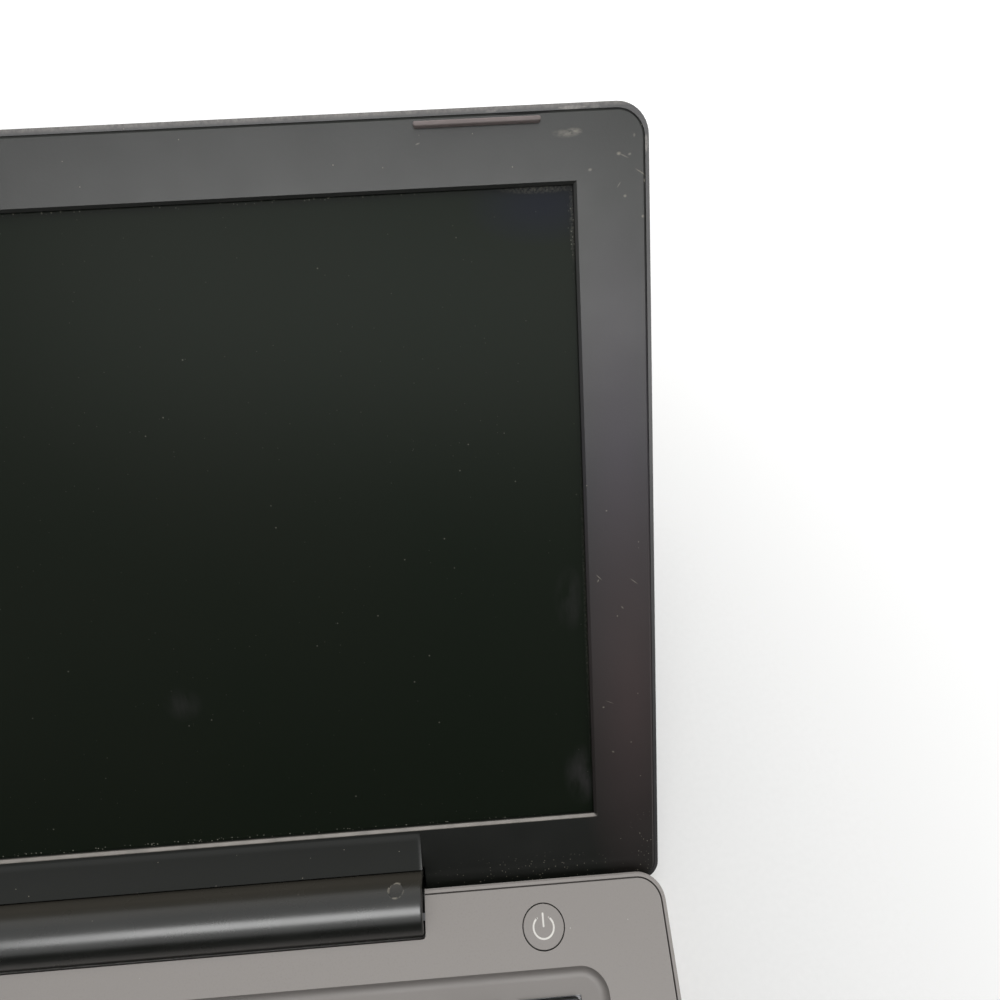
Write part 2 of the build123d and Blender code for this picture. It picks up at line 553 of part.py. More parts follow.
# Deck cover: the top plate with the dished keyboard recess, its key holes and screw posts
with BuildPart() as deck_cover:
    deck_inset = RIM_WIDTH + SEAM_GAP
    with BuildSketch(Plane.XY.offset(DECK_UNDER)):
        plan_rectangle(
            -HALF_WIDTH + deck_inset,
            HALF_WIDTH - deck_inset,
            REAR_RIM_WIDTH + SEAM_GAP - NOSE_BACK,
            BASE_FRONT - deck_inset,
            BASE_CORNER - deck_inset,
        )
        plan_rectangle(
            -NOTCH_HALF, NOTCH_HALF, -NOSE_BACK - SPARE, NOTCH_FRONT, NOTCH_CORNER, mode=Mode.SUBTRACT
        )
    extrude(amount=DECK_THICK)
    # The pan below the keys, and the skirt that carries the keyboard plate
    with BuildSketch(Plane.XY.offset(KEY_PLATE_TOP)):
        plan_rectangle(-PAN_HALF, PAN_HALF, PAN_REAR, PAN_FRONT, RECESS_CORNER + PAN_BORDER)
    extrude(amount=DECK_UNDER - KEY_PLATE_TOP)
    with BuildSketch(Plane.XY.offset(KEY_PLATE_TOP)):
        plan_rectangle(
            -PAN_HALF + PAN_BORDER / 2,
            PAN_HALF - PAN_BORDER / 2,
            PAN_REAR + PAN_BORDER / 2,
            PAN_FRONT - PAN_BORDER / 2,
            RECESS_CORNER + PAN_BORDER / 2,
        )
    extrude(amount=PAN_UNDER - KEY_PLATE_TOP, mode=Mode.SUBTRACT)
    with BuildSketch(Plane.XY.offset(DECK_TOP)):
        plan_rectangle(-RECESS_HALF, RECESS_HALF, RECESS_AHEAD, RECESS_FRONT, RECESS_CORNER)
    extrude(amount=-RECESS_DEPTH, taper=RECESS_SLOPE, mode=Mode.SUBTRACT)
    recess_floor = deck_cover.faces().filter_by(lambda face: face.normal_at().Z > 0).sort_by(Axis.Z)[0]
    fillet(recess_floor.edges(), radius=RECESS_COVE)
    with BuildSketch(Plane.XY.offset(PAN_UNDER)):
        for group, x, y, width, depth in key_places():
            with Locations((x, y)):
                Rectangle(width + 2 * RUN_GAP, depth + 2 * RUN_GAP)
    extrude(amount=PAN_THICK, mode=Mode.SUBTRACT)
    # The touchpad's opening and the hole for the power button
    with BuildSketch(Plane.XY.offset(DECK_UNDER)):
        plan_rectangle(
            -PAD_WIDTH / 2 - RUN_GAP,
            PAD_WIDTH / 2 + RUN_GAP,
            PAD_REAR - RUN_GAP,
            PAD_REAR + PAD_DEPTH + RUN_GAP,
            PAD_ROUND + RUN_GAP,
        )
        with Locations((BUTTON_X, ahead(BUTTON_AHEAD))):
            Circle(BUTTON_RADIUS + BUTTON_GAP)
    extrude(amount=DECK_THICK, mode=Mode.SUBTRACT)
    # Posts that take the cover screws
    with BuildSketch(Plane.XY.offset(DECK_UNDER)):
        with Locations(*SCREW_PLACES):
            RegularPolygon(BOSS_RADIUS, BOSS_SIDES)
    extrude(amount=-DECK_BOSS_HEIGHT)
    with BuildSketch(Plane.XY.offset(DECK_UNDER - DECK_BOSS_HEIGHT)):
        with Locations(*SCREW_PLACES):
            Circle(SCREW_RADIUS + SCREW_CLEARANCE)
    extrude(amount=DECK_BOSS_HEIGHT, mode=Mode.SUBTRACT)
finish(deck_cover, "deck_cover")


# Keys: one piece for each group of keys that is pressed alike
KEY_GROUPS = []
for key_place in key_places():
    if key_place[0] not in KEY_GROUPS:
        KEY_GROUPS.append(key_place[0])
for key_group in KEY_GROUPS:
    with BuildPart() as keys:
        with BuildSketch(Plane.XY.offset(KEY_UNDER)):
            for group, x, y, width, depth in key_places():
                if group == key_group:
                    with Locations((x, y)):
                        Rectangle(width, depth)
        extrude(amount=KEY_HEIGHT)
        chamfer(keys.edges().filter_by(Axis.Z), length=KEY_CORNER)
        chamfer(keys.faces().group_by(Axis.Z)[-1].edges(), length=KEY_EDGE)
    finish(keys, key_group)


# Keyboard plate: the thin steel sheet below the keys
with BuildPart() as keyboard_plate:
    with BuildSketch(Plane.XY.offset(KEY_PLATE_TOP - KEY_PLATE_THICK)):
        plan_rectangle(-PAN_HALF, PAN_HALF, PAN_REAR, PAN_FRONT, RECESS_CORNER + PAN_BORDER)
        with Locations((0, ahead((KEYS_REAR + KEYS_FRONT) / 2))):
            with GridLocations(2 * KEY_PITCH, 2 * KEY_ROW_PITCH, KEYS_ACROSS // 2, 2):
                Rectangle(*KEY_PLATE_HOLE, mode=Mode.SUBTRACT)
    extrude(amount=KEY_PLATE_THICK)
finish(keyboard_plate, "keyboard_plate")


# Touchpad: a plate that tips about its rear edge when its front is pressed
with BuildPart() as touchpad:
    with BuildSketch(Plane.XY.offset(PAD_TOP - PAD_THICK)):
        plan_rectangle(-PAD_WIDTH / 2, PAD_WIDTH / 2, PAD_REAR, PAD_REAR + PAD_DEPTH, PAD_ROUND)
    extrude(amount=PAD_THICK)
    chamfer(touchpad.faces().sort_by(Axis.Z)[-1].edges(), length=PAD_EDGE)
finish(touchpad, "touchpad")


# Touchpad tray: the folded sheet below the touchpad, hung from the deck cover
with BuildPart() as touchpad_tray:
    tray_half = PAD_WIDTH / 2 + TRAY_BEYOND_PAD
    with BuildSketch(Plane.XY.offset(TRAY_TOP - TRAY_THICK)):
        plan_rectangle(-tray_half, tray_half, PAD_REAR, PAD_REAR + PAD_DEPTH)
        with Locations((0, ahead(PAD_MIDDLE))):
            RectangleRounded(PAD_WIDTH / 2, PAD_DEPTH / 2, PAD_ROUND, mode=Mode.SUBTRACT)
    extrude(amount=TRAY_THICK)
    with BuildSketch(Plane.XY.offset(TRAY_TOP)):
        for side in (-1, 1):
            with Locations((side * (tray_half - TRAY_FLANGE / 2), ahead(PAD_MIDDLE))):
                Rectangle(TRAY_FLANGE, PAD_DEPTH)
    extrude(amount=DECK_UNDER - TRAY_TOP)
finish(touchpad_tray, "touchpad_tray")


# Power button: a round cap with two ears that hold it below the deck
with BuildPart() as power_button:
    with BuildSketch(Plane.XY.offset(DECK_UNDER - RUN_GAP - BUTTON_EAR_THICK)):
        with Locations((BUTTON_X, ahead(BUTTON_AHEAD))):
            Circle(BUTTON_RADIUS)
            Rectangle(2 * (BUTTON_RADIUS + BUTTON_EAR), BUTTON_EAR_WIDTH)
    extrude(amount=BUTTON_EAR_THICK)
    with BuildSketch(Plane.XY.offset(DECK_UNDER - RUN_GAP)):
        with Locations((BUTTON_X, ahead(BUTTON_AHEAD))):
            Circle(BUTTON_RADIUS)
    extrude(amount=DECK_THICK + RUN_GAP)
    chamfer(power_button.faces().sort_by(Axis.Z)[-1].edges(), length=BUTTON_EDGE)
finish(power_button, "power_button")


# Power switch: a small board with the switch that the button presses
with BuildPart() as power_switch:
    with BuildSketch(Plane.XY.offset(SWITCH_BOARD_TOP - BOARD_THICK)):
        with Locations((BUTTON_X, ahead(BUTTON_AHEAD))):
            Rectangle(SWITCH_BOARD_WIDTH, SWITCH_BOARD_DEPTH)
    extrude(amount=BOARD_THICK)
    with BuildSketch(Plane.XY.offset(SWITCH_BOARD_TOP)):
        with Locations((BUTTON_X, ahead(BUTTON_AHEAD))):
            Rectangle(SWITCH_SIZE, SWITCH_SIZE)
    extrude(amount=SWITCH_TOP - SWITCH_BOARD_TOP)
finish(power_switch, "power_switch")


# Rubber feet: four pads on the floor
with BuildPart() as rubber_feet:
    with BuildSketch():
        for row in (FOOT_REAR_ROW, BASE_FRONT - FOOT_FRONT):
            for side in (-1, 1):
                with Locations((side * FOOT_X, ahead(row))):
                    SlotOverall(*FOOT_SIZE)
    extrude(amount=FOOT_HEIGHT)
finish(rubber_feet, "rubber_feet")


# Cover screws: from below through the bottom cover into the deck cover's posts
with BuildPart() as cover_screws:
    head_under = FOOT_HEIGHT + FIT_GAP
    with BuildSketch(Plane.XY.offset(head_under)):
        with Locations(*SCREW_PLACES):
            Circle(SCREW_HEAD)
    extrude(amount=SCREW_HEAD_DEEP - FIT_GAP)
    with BuildSketch(Plane.XY.offset(FOOT_HEIGHT + SCREW_HEAD_DEEP)):
        with Locations(*SCREW_PLACES):
            Circle(SCREW_RADIUS)
    extrude(amount=DECK_UNDER - SCREW_TIP_GAP - FOOT_HEIGHT - SCREW_HEAD_DEEP)
finish(cover_screws, "cover_screws")


# Main board: it carries the left-hand sockets, the chips and the radio card's socket
with BuildPart() as main_board:
    with BuildSketch(Plane.XY.offset(MAIN_BOARD_UNDER)):
        plan_rectangle(-BOARD_SIDE, MAIN_BOARD_RIGHT, MAIN_BOARD_REAR_ROW, MAIN_BOARD_FRONT_ROW)
    extrude(amount=BOARD_THICK)
    with BuildSketch(Plane.XY.offset(MAIN_BOARD_TOP)):
        with Locations((PROCESSOR_X, ahead(PROCESSOR_ROW))):
            Rectangle(*PROCESSOR_SIZE)
        with Locations((CARD_X, ahead(CARD_ROW + CARD_SIZE[1] - CARD_SOCKET_DEPTH / 2))):
            Rectangle(CARD_SIZE[0], CARD_SOCKET_DEPTH)
        with Locations((CARD_X, ahead(CARD_ROW + CARD_SCREW_INSET))):
            Circle(SCREW_HEAD)
    extrude(amount=CHIP_HEIGHT)
    with BuildSketch(Plane.XY.offset(MAIN_BOARD_TOP)):
        with Locations((MEMORY_X, ahead(PROCESSOR_ROW))):
            with GridLocations(0, MEMORY_PITCH, 1, 4):
                Rectangle(*MEMORY_SIZE)
        with Locations((CONTROLLER_X, ahead(CONTROLLER_ROW))):
            Rectangle(CONTROLLER_SIZE, CONTROLLER_SIZE)
    extrude(amount=LOW_CHIP_HEIGHT)
finish(main_board, "main_board")


# Heat spreader: a plate on the processor, with its edges turned up
with BuildPart() as heat_spreader:
    with BuildSketch(Plane.XY.offset(CARD_UNDER)):
        with Locations((PROCESSOR_X, ahead(PROCESSOR_ROW))):
            Rectangle(SPREADER_SIZE[0], SPREADER_SIZE[1])
    extrude(amount=SPREADER_SIZE[2])
    with BuildSketch(Plane.XY.offset(CARD_UNDER + SPREADER_SIZE[2])):
        with Locations((PROCESSOR_X, ahead(PROCESSOR_ROW))):
            with GridLocations(0, SPREADER_SIZE[1] - SPREADER_LIP, 1, 2):
                Rectangle(SPREADER_SIZE[0], SPREADER_LIP)
    extrude(amount=SPREADER_LIP)
finish(heat_spreader, "heat_spreader")


# Radio card: a small board in its socket, with a shield can on it
with BuildPart() as radio_card:
    with Locations((CARD_X, ahead(CARD_ROW + CARD_SIZE[1] / 2), CARD_UNDER)):
        Box(*CARD_SIZE, align=(Align.CENTER, Align.CENTER, Align.MIN))
    with Locations((CARD_X, ahead(CARD_ROW + CARD_SIZE[1] / 2), CARD_UNDER + CARD_SIZE[2])):
        Box(
            CARD_SIZE[0] - 2 * CARD_SHIELD_INSET[0],
            CARD_SIZE[1] - 2 * CARD_SHIELD_INSET[1],
            LOW_CHIP_HEIGHT,
            align=(Align.CENTER, Align.CENTER, Align.MIN),
        )
finish(radio_card, "radio_card")


# Side board: it carries the right-hand sockets
with BuildPart() as side_board:
    with BuildSketch(Plane.XY.offset(MAIN_BOARD_UNDER)):
        plan_rectangle(SIDE_BOARD_LEFT, BOARD_SIDE, SIDE_BOARD_REAR_ROW, SIDE_BOARD_FRONT_ROW)
    extrude(amount=BOARD_THICK)
finish(side_board, "side_board")


# Battery: flat cells side by side in one pack, with a groove between neighbours
with BuildPart() as battery_pack:
    with BuildSketch(Plane.XY.offset(FLOOR_TOP)):
        plan_rectangle(-BATTERY_HALF, BATTERY_HALF, *BATTERY_ROWS, BATTERY_CORNER)
    extrude(amount=BATTERY_TOP - FLOOR_TOP)
    with BuildSketch(Plane.XY.offset(BATTERY_TOP)):
        with Locations((0, ahead(sum(BATTERY_ROWS) / 2))):
            with GridLocations(2 * BATTERY_HALF / BATTERY_CELLS, 0, BATTERY_CELLS - 1, 1):
                Rectangle(BATTERY_GROOVE[0], BATTERY_DEPTH - 2 * BATTERY_GROOVE_END)
    extrude(amount=-BATTERY_GROOVE[1], mode=Mode.SUBTRACT)
finish(battery_pack, "battery_pack")


# Speakers: closed boxes with a cone opening that faces down through the floor slots
for speaker_name, side in (("speaker_left", -1), ("speaker_right", 1)):
    with BuildPart() as speaker:
        with BuildSketch(Plane.XY.offset(FLOOR_TOP)):
            with Locations((side * SPEAKER_X, ahead(SPEAKER_ROW))):
                Rectangle(SPEAKER_SIZE[0], SPEAKER_SIZE[1])
        extrude(amount=SPEAKER_SIZE[2])
        chamfer(speaker.edges().filter_by(Axis.Z), length=SPEAKER_RIM[1])
        with BuildSketch(Plane.XY.offset(FLOOR_TOP)):
            with Locations((side * SPEAKER_X, ahead(SPEAKER_ROW))):
                SlotOverall(SPEAKER_SIZE[0] - 2 * SPEAKER_RIM[0], SPEAKER_SIZE[1] - 2 * SPEAKER_RIM[1])
        extrude(amount=SPEAKER_CONE_DEEP, mode=Mode.SUBTRACT)
    finish(speaker, speaker_name)


def socket_plane(socket):
    """A plane on the outer end of a socket, facing out of the side wall."""
    side = socket["side"]
    height = MAIN_BOARD_TOP + socket["height"] / 2
    origin = (side * (HALF_WIDTH - PORT_FLUSH), ahead(socket["ahead"]), height)
    return Plane(origin=origin, x_dir=(0, side, 0), z_dir=(side, 0, 0))


# Flat sockets: a metal shell with a tongue inside
TONGUES = {
    "video_port": {"width": 10.5, "height": 1.6, "up": 0.0, "wall": 0.7},
    "usb_port_left": {"width": 11.0, "height": 1.9, "up": 1.0, "wall": 0.35},
    "usb_port_right": {"width": 11.0, "height": 1.9, "up": 1.0, "wall": 0.35},
}
for socket_name, tongue in TONGUES.items():
    socket = SOCKETS[socket_name]
    with BuildPart() as port:
        with BuildSketch(socket_plane(socket)):
            RectangleRounded(socket["width"], socket["height"], PORT_CORNER)
        extrude(amount=-socket["depth"])
        with BuildSketch(socket_plane(socket)):
            Rectangle(socket["width"] - 2 * tongue["wall"], socket["height"] - 2 * tongue["wall"])
        extrude(amount=PORT_BACK - socket["depth"], mode=Mode.SUBTRACT)
        with BuildSketch(socket_plane(socket).offset(-socket["depth"])):
            with Locations((0, tongue["up"])):
                Rectangle(tongue["width"], tongue["height"])
        extrude(amount=socket["depth"] - PORT_FLUSH)
    finish(port, socket_name)

# Power inlet: a block with a round bore and its centre contact
inlet = SOCKETS["power_inlet"]
with BuildPart() as power_inlet:
    with BuildSketch(socket_plane(inlet)):
        RectangleRounded(inlet["width"], inlet["height"], PORT_CORNER)
    extrude(amount=-inlet["depth"])
    with BuildSketch(socket_plane(inlet)):
        Circle(INLET_BORE)
    extrude(amount=PORT_BACK - inlet["depth"], mode=Mode.SUBTRACT)
    with BuildSketch(socket_plane(inlet).offset(-inlet["depth"])):
        Circle(INLET_PIN)
    extrude(amount=inlet["depth"] - PORT_FLUSH)
finish(power_inlet, "power_inlet")

# Headset socket: a block with a round bore
headset = SOCKETS["headset_socket"]
with BuildPart() as headset_socket:
    with BuildSketch(socket_plane(headset)):
        RectangleRounded(headset["width"], headset["height"], PORT_CORNER)
    extrude(amount=-headset["depth"])
    with BuildSketch(socket_plane(headset)):
        Circle(HEADSET_BORE)
    extrude(amount=PORT_BACK - headset["depth"], mode=Mode.SUBTRACT)
finish(headset_socket, "headset_socket")

# Card slot: a thin shell, open at its outer end
card = SOCKETS["card_slot"]
with BuildPart() as card_slot:
    with BuildSketch(socket_plane(card)):
        Rectangle(card["width"], card["height"])
    extrude(amount=-card["depth"])
    with BuildSketch(socket_plane(card)):
        Rectangle(card["width"] - 2 * CARD_SLOT_WALL, card["height"] - 2 * CARD_SLOT_WALL)
    extrude(amount=PORT_BACK - card["depth"], mode=Mode.SUBTRACT)
finish(card_slot, "card_slot")


# Hinge brackets: a knuckle inside the barrel, and a plate screwed down inside the base
for bracket_name, side in (("hinge_bracket_left", -1), ("hinge_bracket_right", 1)):
    with BuildPart() as bracket:
        with BuildSketch(SIDE_PLANE.offset(side * KNUCKLE_IN)):
            Circle(KNUCKLE_RADIUS)
        extrude(amount=side * KNUCKLE_LENGTH)
        # The neck passes out of the barrel's end and into the base
        with BuildSketch(SIDE_PLANE.offset(side * KNUCKLE_IN)):
            with Locations(NECK_MIDDLE):
                Rectangle(BRACKET_THICK, NECK_HEIGHT)
        extrude(amount=side * (BRACKET_OUT - KNUCKLE_IN))
        with BuildSketch(Plane.XY.offset(BRACKET_UNDER)):
            plate_middle = side * (BRACKET_IN + BRACKET_OUT) / 2
            with Locations((plate_middle, ahead(BRACKET_AHEAD + BRACKET_DEPTH / 2))):
                Rectangle(BRACKET_LENGTH, BRACKET_DEPTH)
        extrude(amount=BRACKET_THICK)
        with BuildSketch(SIDE_PLANE.offset(side * (KNUCKLE_IN - SPARE))):
            Circle(PIN_RADIUS + PIN_CLEARANCE)
        extrude(amount=side * (KNUCKLE_LENGTH + 2 * SPARE), mode=Mode.SUBTRACT)
        with BuildSketch(Plane.XY.offset(BRACKET_UNDER)):
            with Locations(*[(side * x, y) for x, y in BRACKET_SCREWS]):
                Circle(SCREW_RADIUS + SCREW_CLEARANCE)
        extrude(amount=BRACKET_THICK, mode=Mode.SUBTRACT)
    finish(bracket, bracket_name)

# Bracket screws: pan heads that clamp the hinge brackets to their posts
with BuildPart() as bracket_screws:
    with BuildSketch(Plane.XY.offset(BRACKET_UNDER)):
        with Locations(*BRACKET_POSTS):
            Circle(SCREW_RADIUS)
    extrude(amount=BRACKET_THICK)
    with BuildSketch(Plane.XY.offset(BRACKET_TOP)):
        with Locations(*BRACKET_POSTS):
            Circle(SCREW_HEAD)
    extrude(amount=SCREW_HEAD_DEEP)
finish(bracket_screws, "bracket_screws")


# Lid back cover: a shallow tray with rounded edges, open towards the reader
with BuildPart() as lid_back_cover:
    with BuildSketch(LID_PLANE.offset(LID_BACK)):
        lid_outline(0.0)
    extrude(amount=LID_THICK - LIP_BELOW_BEZEL)
    fillet(lid_back_cover.faces().filter_by(LID_PLANE).sort_by(Axis.Z)[0].edges(), radius=LID_BACK_ROUND)
    with BuildSketch(LID_PLANE.offset(LID_BACK + LID_BACK_THICK)):
        lid_outline(LID_WALL)
    extrude(amount=LID_THICK, mode=Mode.SUBTRACT)
    with BuildSketch(LID_PLANE.offset(BEZEL_FACE - BEZEL_THICK)):
        lid_outline(LID_LIP, TOP_LIP_EXTRA)
    extrude(amount=BEZEL_THICK, mode=Mode.SUBTRACT)
    # The cradle that the barrel lies in
    with BuildSketch(SIDE_PLANE):
        Circle(BARREL_RADIUS + BARREL_FIT)
    extrude(amount=BARREL_HALF + BARREL_FIT, both=True, mode=Mode.SUBTRACT)
finish(lid_back_cover, "lid_back_cover")


# Screen bezel: the frame round the screen, with the ramp that runs down to the barrel
with BuildPart() as screen_bezel:
    bezel_inset = LID_LIP + FIT_GAP
    with BuildSketch(LID_PLANE.offset(BEZEL_FACE - BEZEL_THICK)):
        lid_outline(bezel_inset, TOP_LIP_EXTRA)
    extrude(amount=BEZEL_THICK)
    chamfer(screen_bezel.faces().filter_by(LID_PLANE).sort_by(Axis.Z)[-1].edges(), length=BEZEL_EDGE)
    with BuildSketch(LID_PLANE.offset(BEZEL_FACE)):
        lid_rectangle(-SCREEN_WIDTH / 2, SCREEN_WIDTH / 2, SCREEN_BOTTOM, SCREEN_TOP)
    extrude(amount=-SCREEN_EDGE_DEEP, taper=SCREEN_EDGE_SLOPE, mode=Mode.SUBTRACT)
    with BuildSketch(LID_PLANE.offset(BEZEL_FACE)):
        bevel = SCREEN_EDGE_DEEP * tan(radians(SCREEN_EDGE_SLOPE))
        half = SCREEN_WIDTH / 2 - bevel
        lid_rectangle(-half, half, SCREEN_BOTTOM + bevel, SCREEN_TOP - bevel)
    extrude(amount=-BEZEL_THICK, mode=Mode.SUBTRACT)
    # The ramp over the barrel
    with BuildSketch(LID_SIDE_PLANE):
        ramp_low = BARREL_RADIUS - BARREL_WALL
        ramp_end = (BARREL_RADIUS - FIT_GAP, BEZEL_FACE + RAMP_HEIGHTS[2])
        with BuildLine():
            Polyline(
                ramp_end,
                (ramp_low, BEZEL_FACE - RAMP_ROOT),
                (RAMP_START, BEZEL_FACE - RAMP_ROOT),
                (RAMP_START, BEZEL_FACE),
            )
            Spline(
                (RAMP_START, BEZEL_FACE),
                ((RAMP_START + BARREL_RADIUS) / 2, BEZEL_FACE + RAMP_HEIGHTS[0]),
                (BARREL_RADIUS + RAMP_FOOT, BEZEL_FACE + RAMP_HEIGHTS[1]),
                ramp_end,
                tangents=((-1, 0), RAMP_END_RUN),
            )
        make_face()
    extrude(amount=BARREL_HALF, both=True)
    with BuildSketch(SIDE_PLANE):
        Circle(BARREL_RADIUS + RAMP_SEAM)
    extrude(amount=BARREL_HALF + RAMP_SEAM, both=True, mode=Mode.SUBTRACT)
    # The camera's window
    with BuildSketch(LID_PLANE.offset(BEZEL_FACE)):
        with Locations((0, CAMERA_UP)):
            Circle(CAMERA_WINDOW + FIT_GAP)
    extrude(amount=-BEZEL_THICK, mode=Mode.SUBTRACT)
finish(screen_bezel, "screen_bezel")


# Display panel: the flat module behind the bezel, with its control board along the lower edge
with BuildPart() as display_panel:
    panel_half = SCREEN_WIDTH / 2 + PANEL_OVERLAP
    with BuildSketch(LID_PLANE.offset(PANEL_FRONT)):
        lid_rectangle(-panel_half, panel_half, SCREEN_BOTTOM - PANEL_OVERLAP, SCREEN_TOP + PANEL_OVERLAP)
    extrude(amount=-PANEL_THICK)
finish(display_panel, "display_panel")


# Camera: a narrow board at the top of the lid with the lens barrel, and its clear window
with BuildPart() as camera_module:
    board_back = LID_BACK + LID_BACK_THICK
    with BuildSketch(LID_PLANE.offset(board_back)):
        with Locations((0, CAMERA_UP)):
            Rectangle(CAMERA_BOARD[0], CAMERA_BOARD[1])
    extrude(amount=CAMERA_BOARD[2])
    with BuildSketch(LID_PLANE.offset(board_back)):
        with Locations((0, CAMERA_UP)):
            Rectangle(CAMERA_BLOCK, CAMERA_BLOCK)
    extrude(amount=PANEL_FRONT - board_back)
finish(camera_module, "camera_module")

with BuildPart() as camera_window:
    with BuildSketch(LID_PLANE.offset(BEZEL_FACE - WINDOW_SUNK)):
        with Locations((0, CAMERA_UP)):
            Circle(CAMERA_WINDOW)
    extrude(amount=-WINDOW_THICK)
finish(camera_window, "camera_window")


# Antennas: two small strips on the back cover beside the camera
with BuildPart() as radio_antennas:
    with BuildSketch(LID_PLANE.offset(LID_BACK + LID_BACK_THICK)):
        with Locations((0, CAMERA_UP)):
            with GridLocations(2 * ANTENNA_X, 0, 2, 1):
                Rectangle(ANTENNA_SIZE[0], ANTENNA_SIZE[1])
    extrude(amount=ANTENNA_SIZE[2])
finish(radio_antennas, "radio_antennas")


# Lid bumpers: rubber bars that keep the bezel off the deck
with BuildPart() as lid_bumpers:
    with BuildSketch(LID_PLANE.offset(BEZEL_FACE)):
        with Locations((0, LID_TOP - BUMPER_FROM_TOP)):
            with GridLocations(2 * (HALF_WIDTH - BUMPER_SIDE) - BUMPER_LENGTH, 0, 2, 1):
                SlotOverall(BUMPER_LENGTH, BUMPER_WIDTH)
    extrude(amount=BUMPER_HEIGHT)
finish(lid_bumpers, "lid_bumpers")


# Hinge cover: the barrel, a tube split open at the back where the hinge arms leave it
PLUG_UP = Vector(0, sin(radians(PLUG_LEAN)), cos(radians(PLUG_LEAN)))
PLUG_PLANES = [
    Plane(origin=(side * PLUG_X, AXIS_Y, AXIS_Z), x_dir=(1, 0, 0), z_dir=PLUG_UP) for side in (-1, 1)
]
with BuildPart() as hinge_cover:
    with BuildSketch(SIDE_PLANE):
        Circle(BARREL_RADIUS)
        Circle(BARREL_RADIUS - BARREL_WALL, mode=Mode.SUBTRACT)
    extrude(amount=BARREL_HALF, both=True)
    fillet(hinge_cover.edges().filter_by(GeomType.CIRCLE).sort_by(SortBy.RADIUS)[-2:], radius=BARREL_EDGE)
    with BuildSketch(LID_PLANE):
        with Locations((0, ARM_FOOT_UP + ARM_FOOT_DEPTH / 2)):
            with GridLocations(2 * ARM_MIDDLE, 0, 2, 1):
                Rectangle(ARM_WIDTH + 2 * ARM_SLOT_GAP, ARM_FOOT_DEPTH + 2 * ARM_SLOT_GAP)
    extrude(amount=-BARREL_RADIUS - SPARE, mode=Mode.SUBTRACT)
    # Holes for the two screw plugs, behind the top of the barrel
    with BuildSketch(*PLUG_PLANES):
        Circle(PLUG_RADIUS + PLUG_GAP)
    extrude(amount=BARREL_RADIUS + SPARE, mode=Mode.SUBTRACT)
finish(hinge_cover, "hinge_cover")

# Plugs: they cover the screws that hold the barrel's two halves
with BuildPart() as hinge_cover_plugs:
    plug_low = BARREL_RADIUS - BARREL_WALL
    with BuildSketch(*[plane.offset(plug_low) for plane in PLUG_PLANES]):
        Circle(PLUG_RADIUS)
    extrude(amount=sqrt(BARREL_RADIUS**2 - PLUG_RADIUS**2) - plug_low)
finish(hinge_cover_plugs, "hinge_cover_plugs")


# Hinge arms: the steel pin that turns in the bracket's knuckle, and the plate up the lid
for arm_name, side in (("hinge_arm_left", -1), ("hinge_arm_right", 1)):
    with BuildPart() as arm:
        with BuildSketch(SIDE_PLANE.offset(side * ARM_INNER)):
            Circle(KNUCKLE_RADIUS)
        extrude(amount=side * ARM_WIDTH)
        with BuildSketch(SIDE_PLANE.offset(side * ARM_INNER)):
            Circle(PIN_RADIUS)
        extrude(amount=side * (KNUCKLE_IN + KNUCKLE_LENGTH + PIN_BEYOND - ARM_INNER))
        with BuildSketch(LID_PLANE.offset(ARM_PLATE_UNDER)):
            with Locations((side * ARM_MIDDLE, ARM_FOOT_UP + ARM_FOOT_DEPTH / 2)):
                Rectangle(ARM_WIDTH, ARM_FOOT_DEPTH)
        extrude(amount=-ARM_PLATE_UNDER)
        with BuildSketch(LID_PLANE.offset(ARM_PLATE_UNDER)):
            with Locations((side * ARM_MIDDLE, ARM_FOOT_UP + ARM_LENGTH / 2)):
                Rectangle(ARM_WIDTH, ARM_LENGTH)
                with GridLocations(0, ARM_HOLE_PITCH, 1, 3):
                    Circle(SCREW_RADIUS + SCREW_CLEARANCE, mode=Mode.SUBTRACT)
        extrude(amount=ARM_PLATE_THICK)
    finish(arm, arm_name)
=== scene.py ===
"""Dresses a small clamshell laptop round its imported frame: finishes, keycaps, marks and a plain studio."""

import json
from math import pi, radians

import bpy
from bpy.props import FloatProperty, FloatVectorProperty, PointerProperty
from bpy.types import Operator, Panel, PropertyGroup
from mathutils import Matrix, Vector

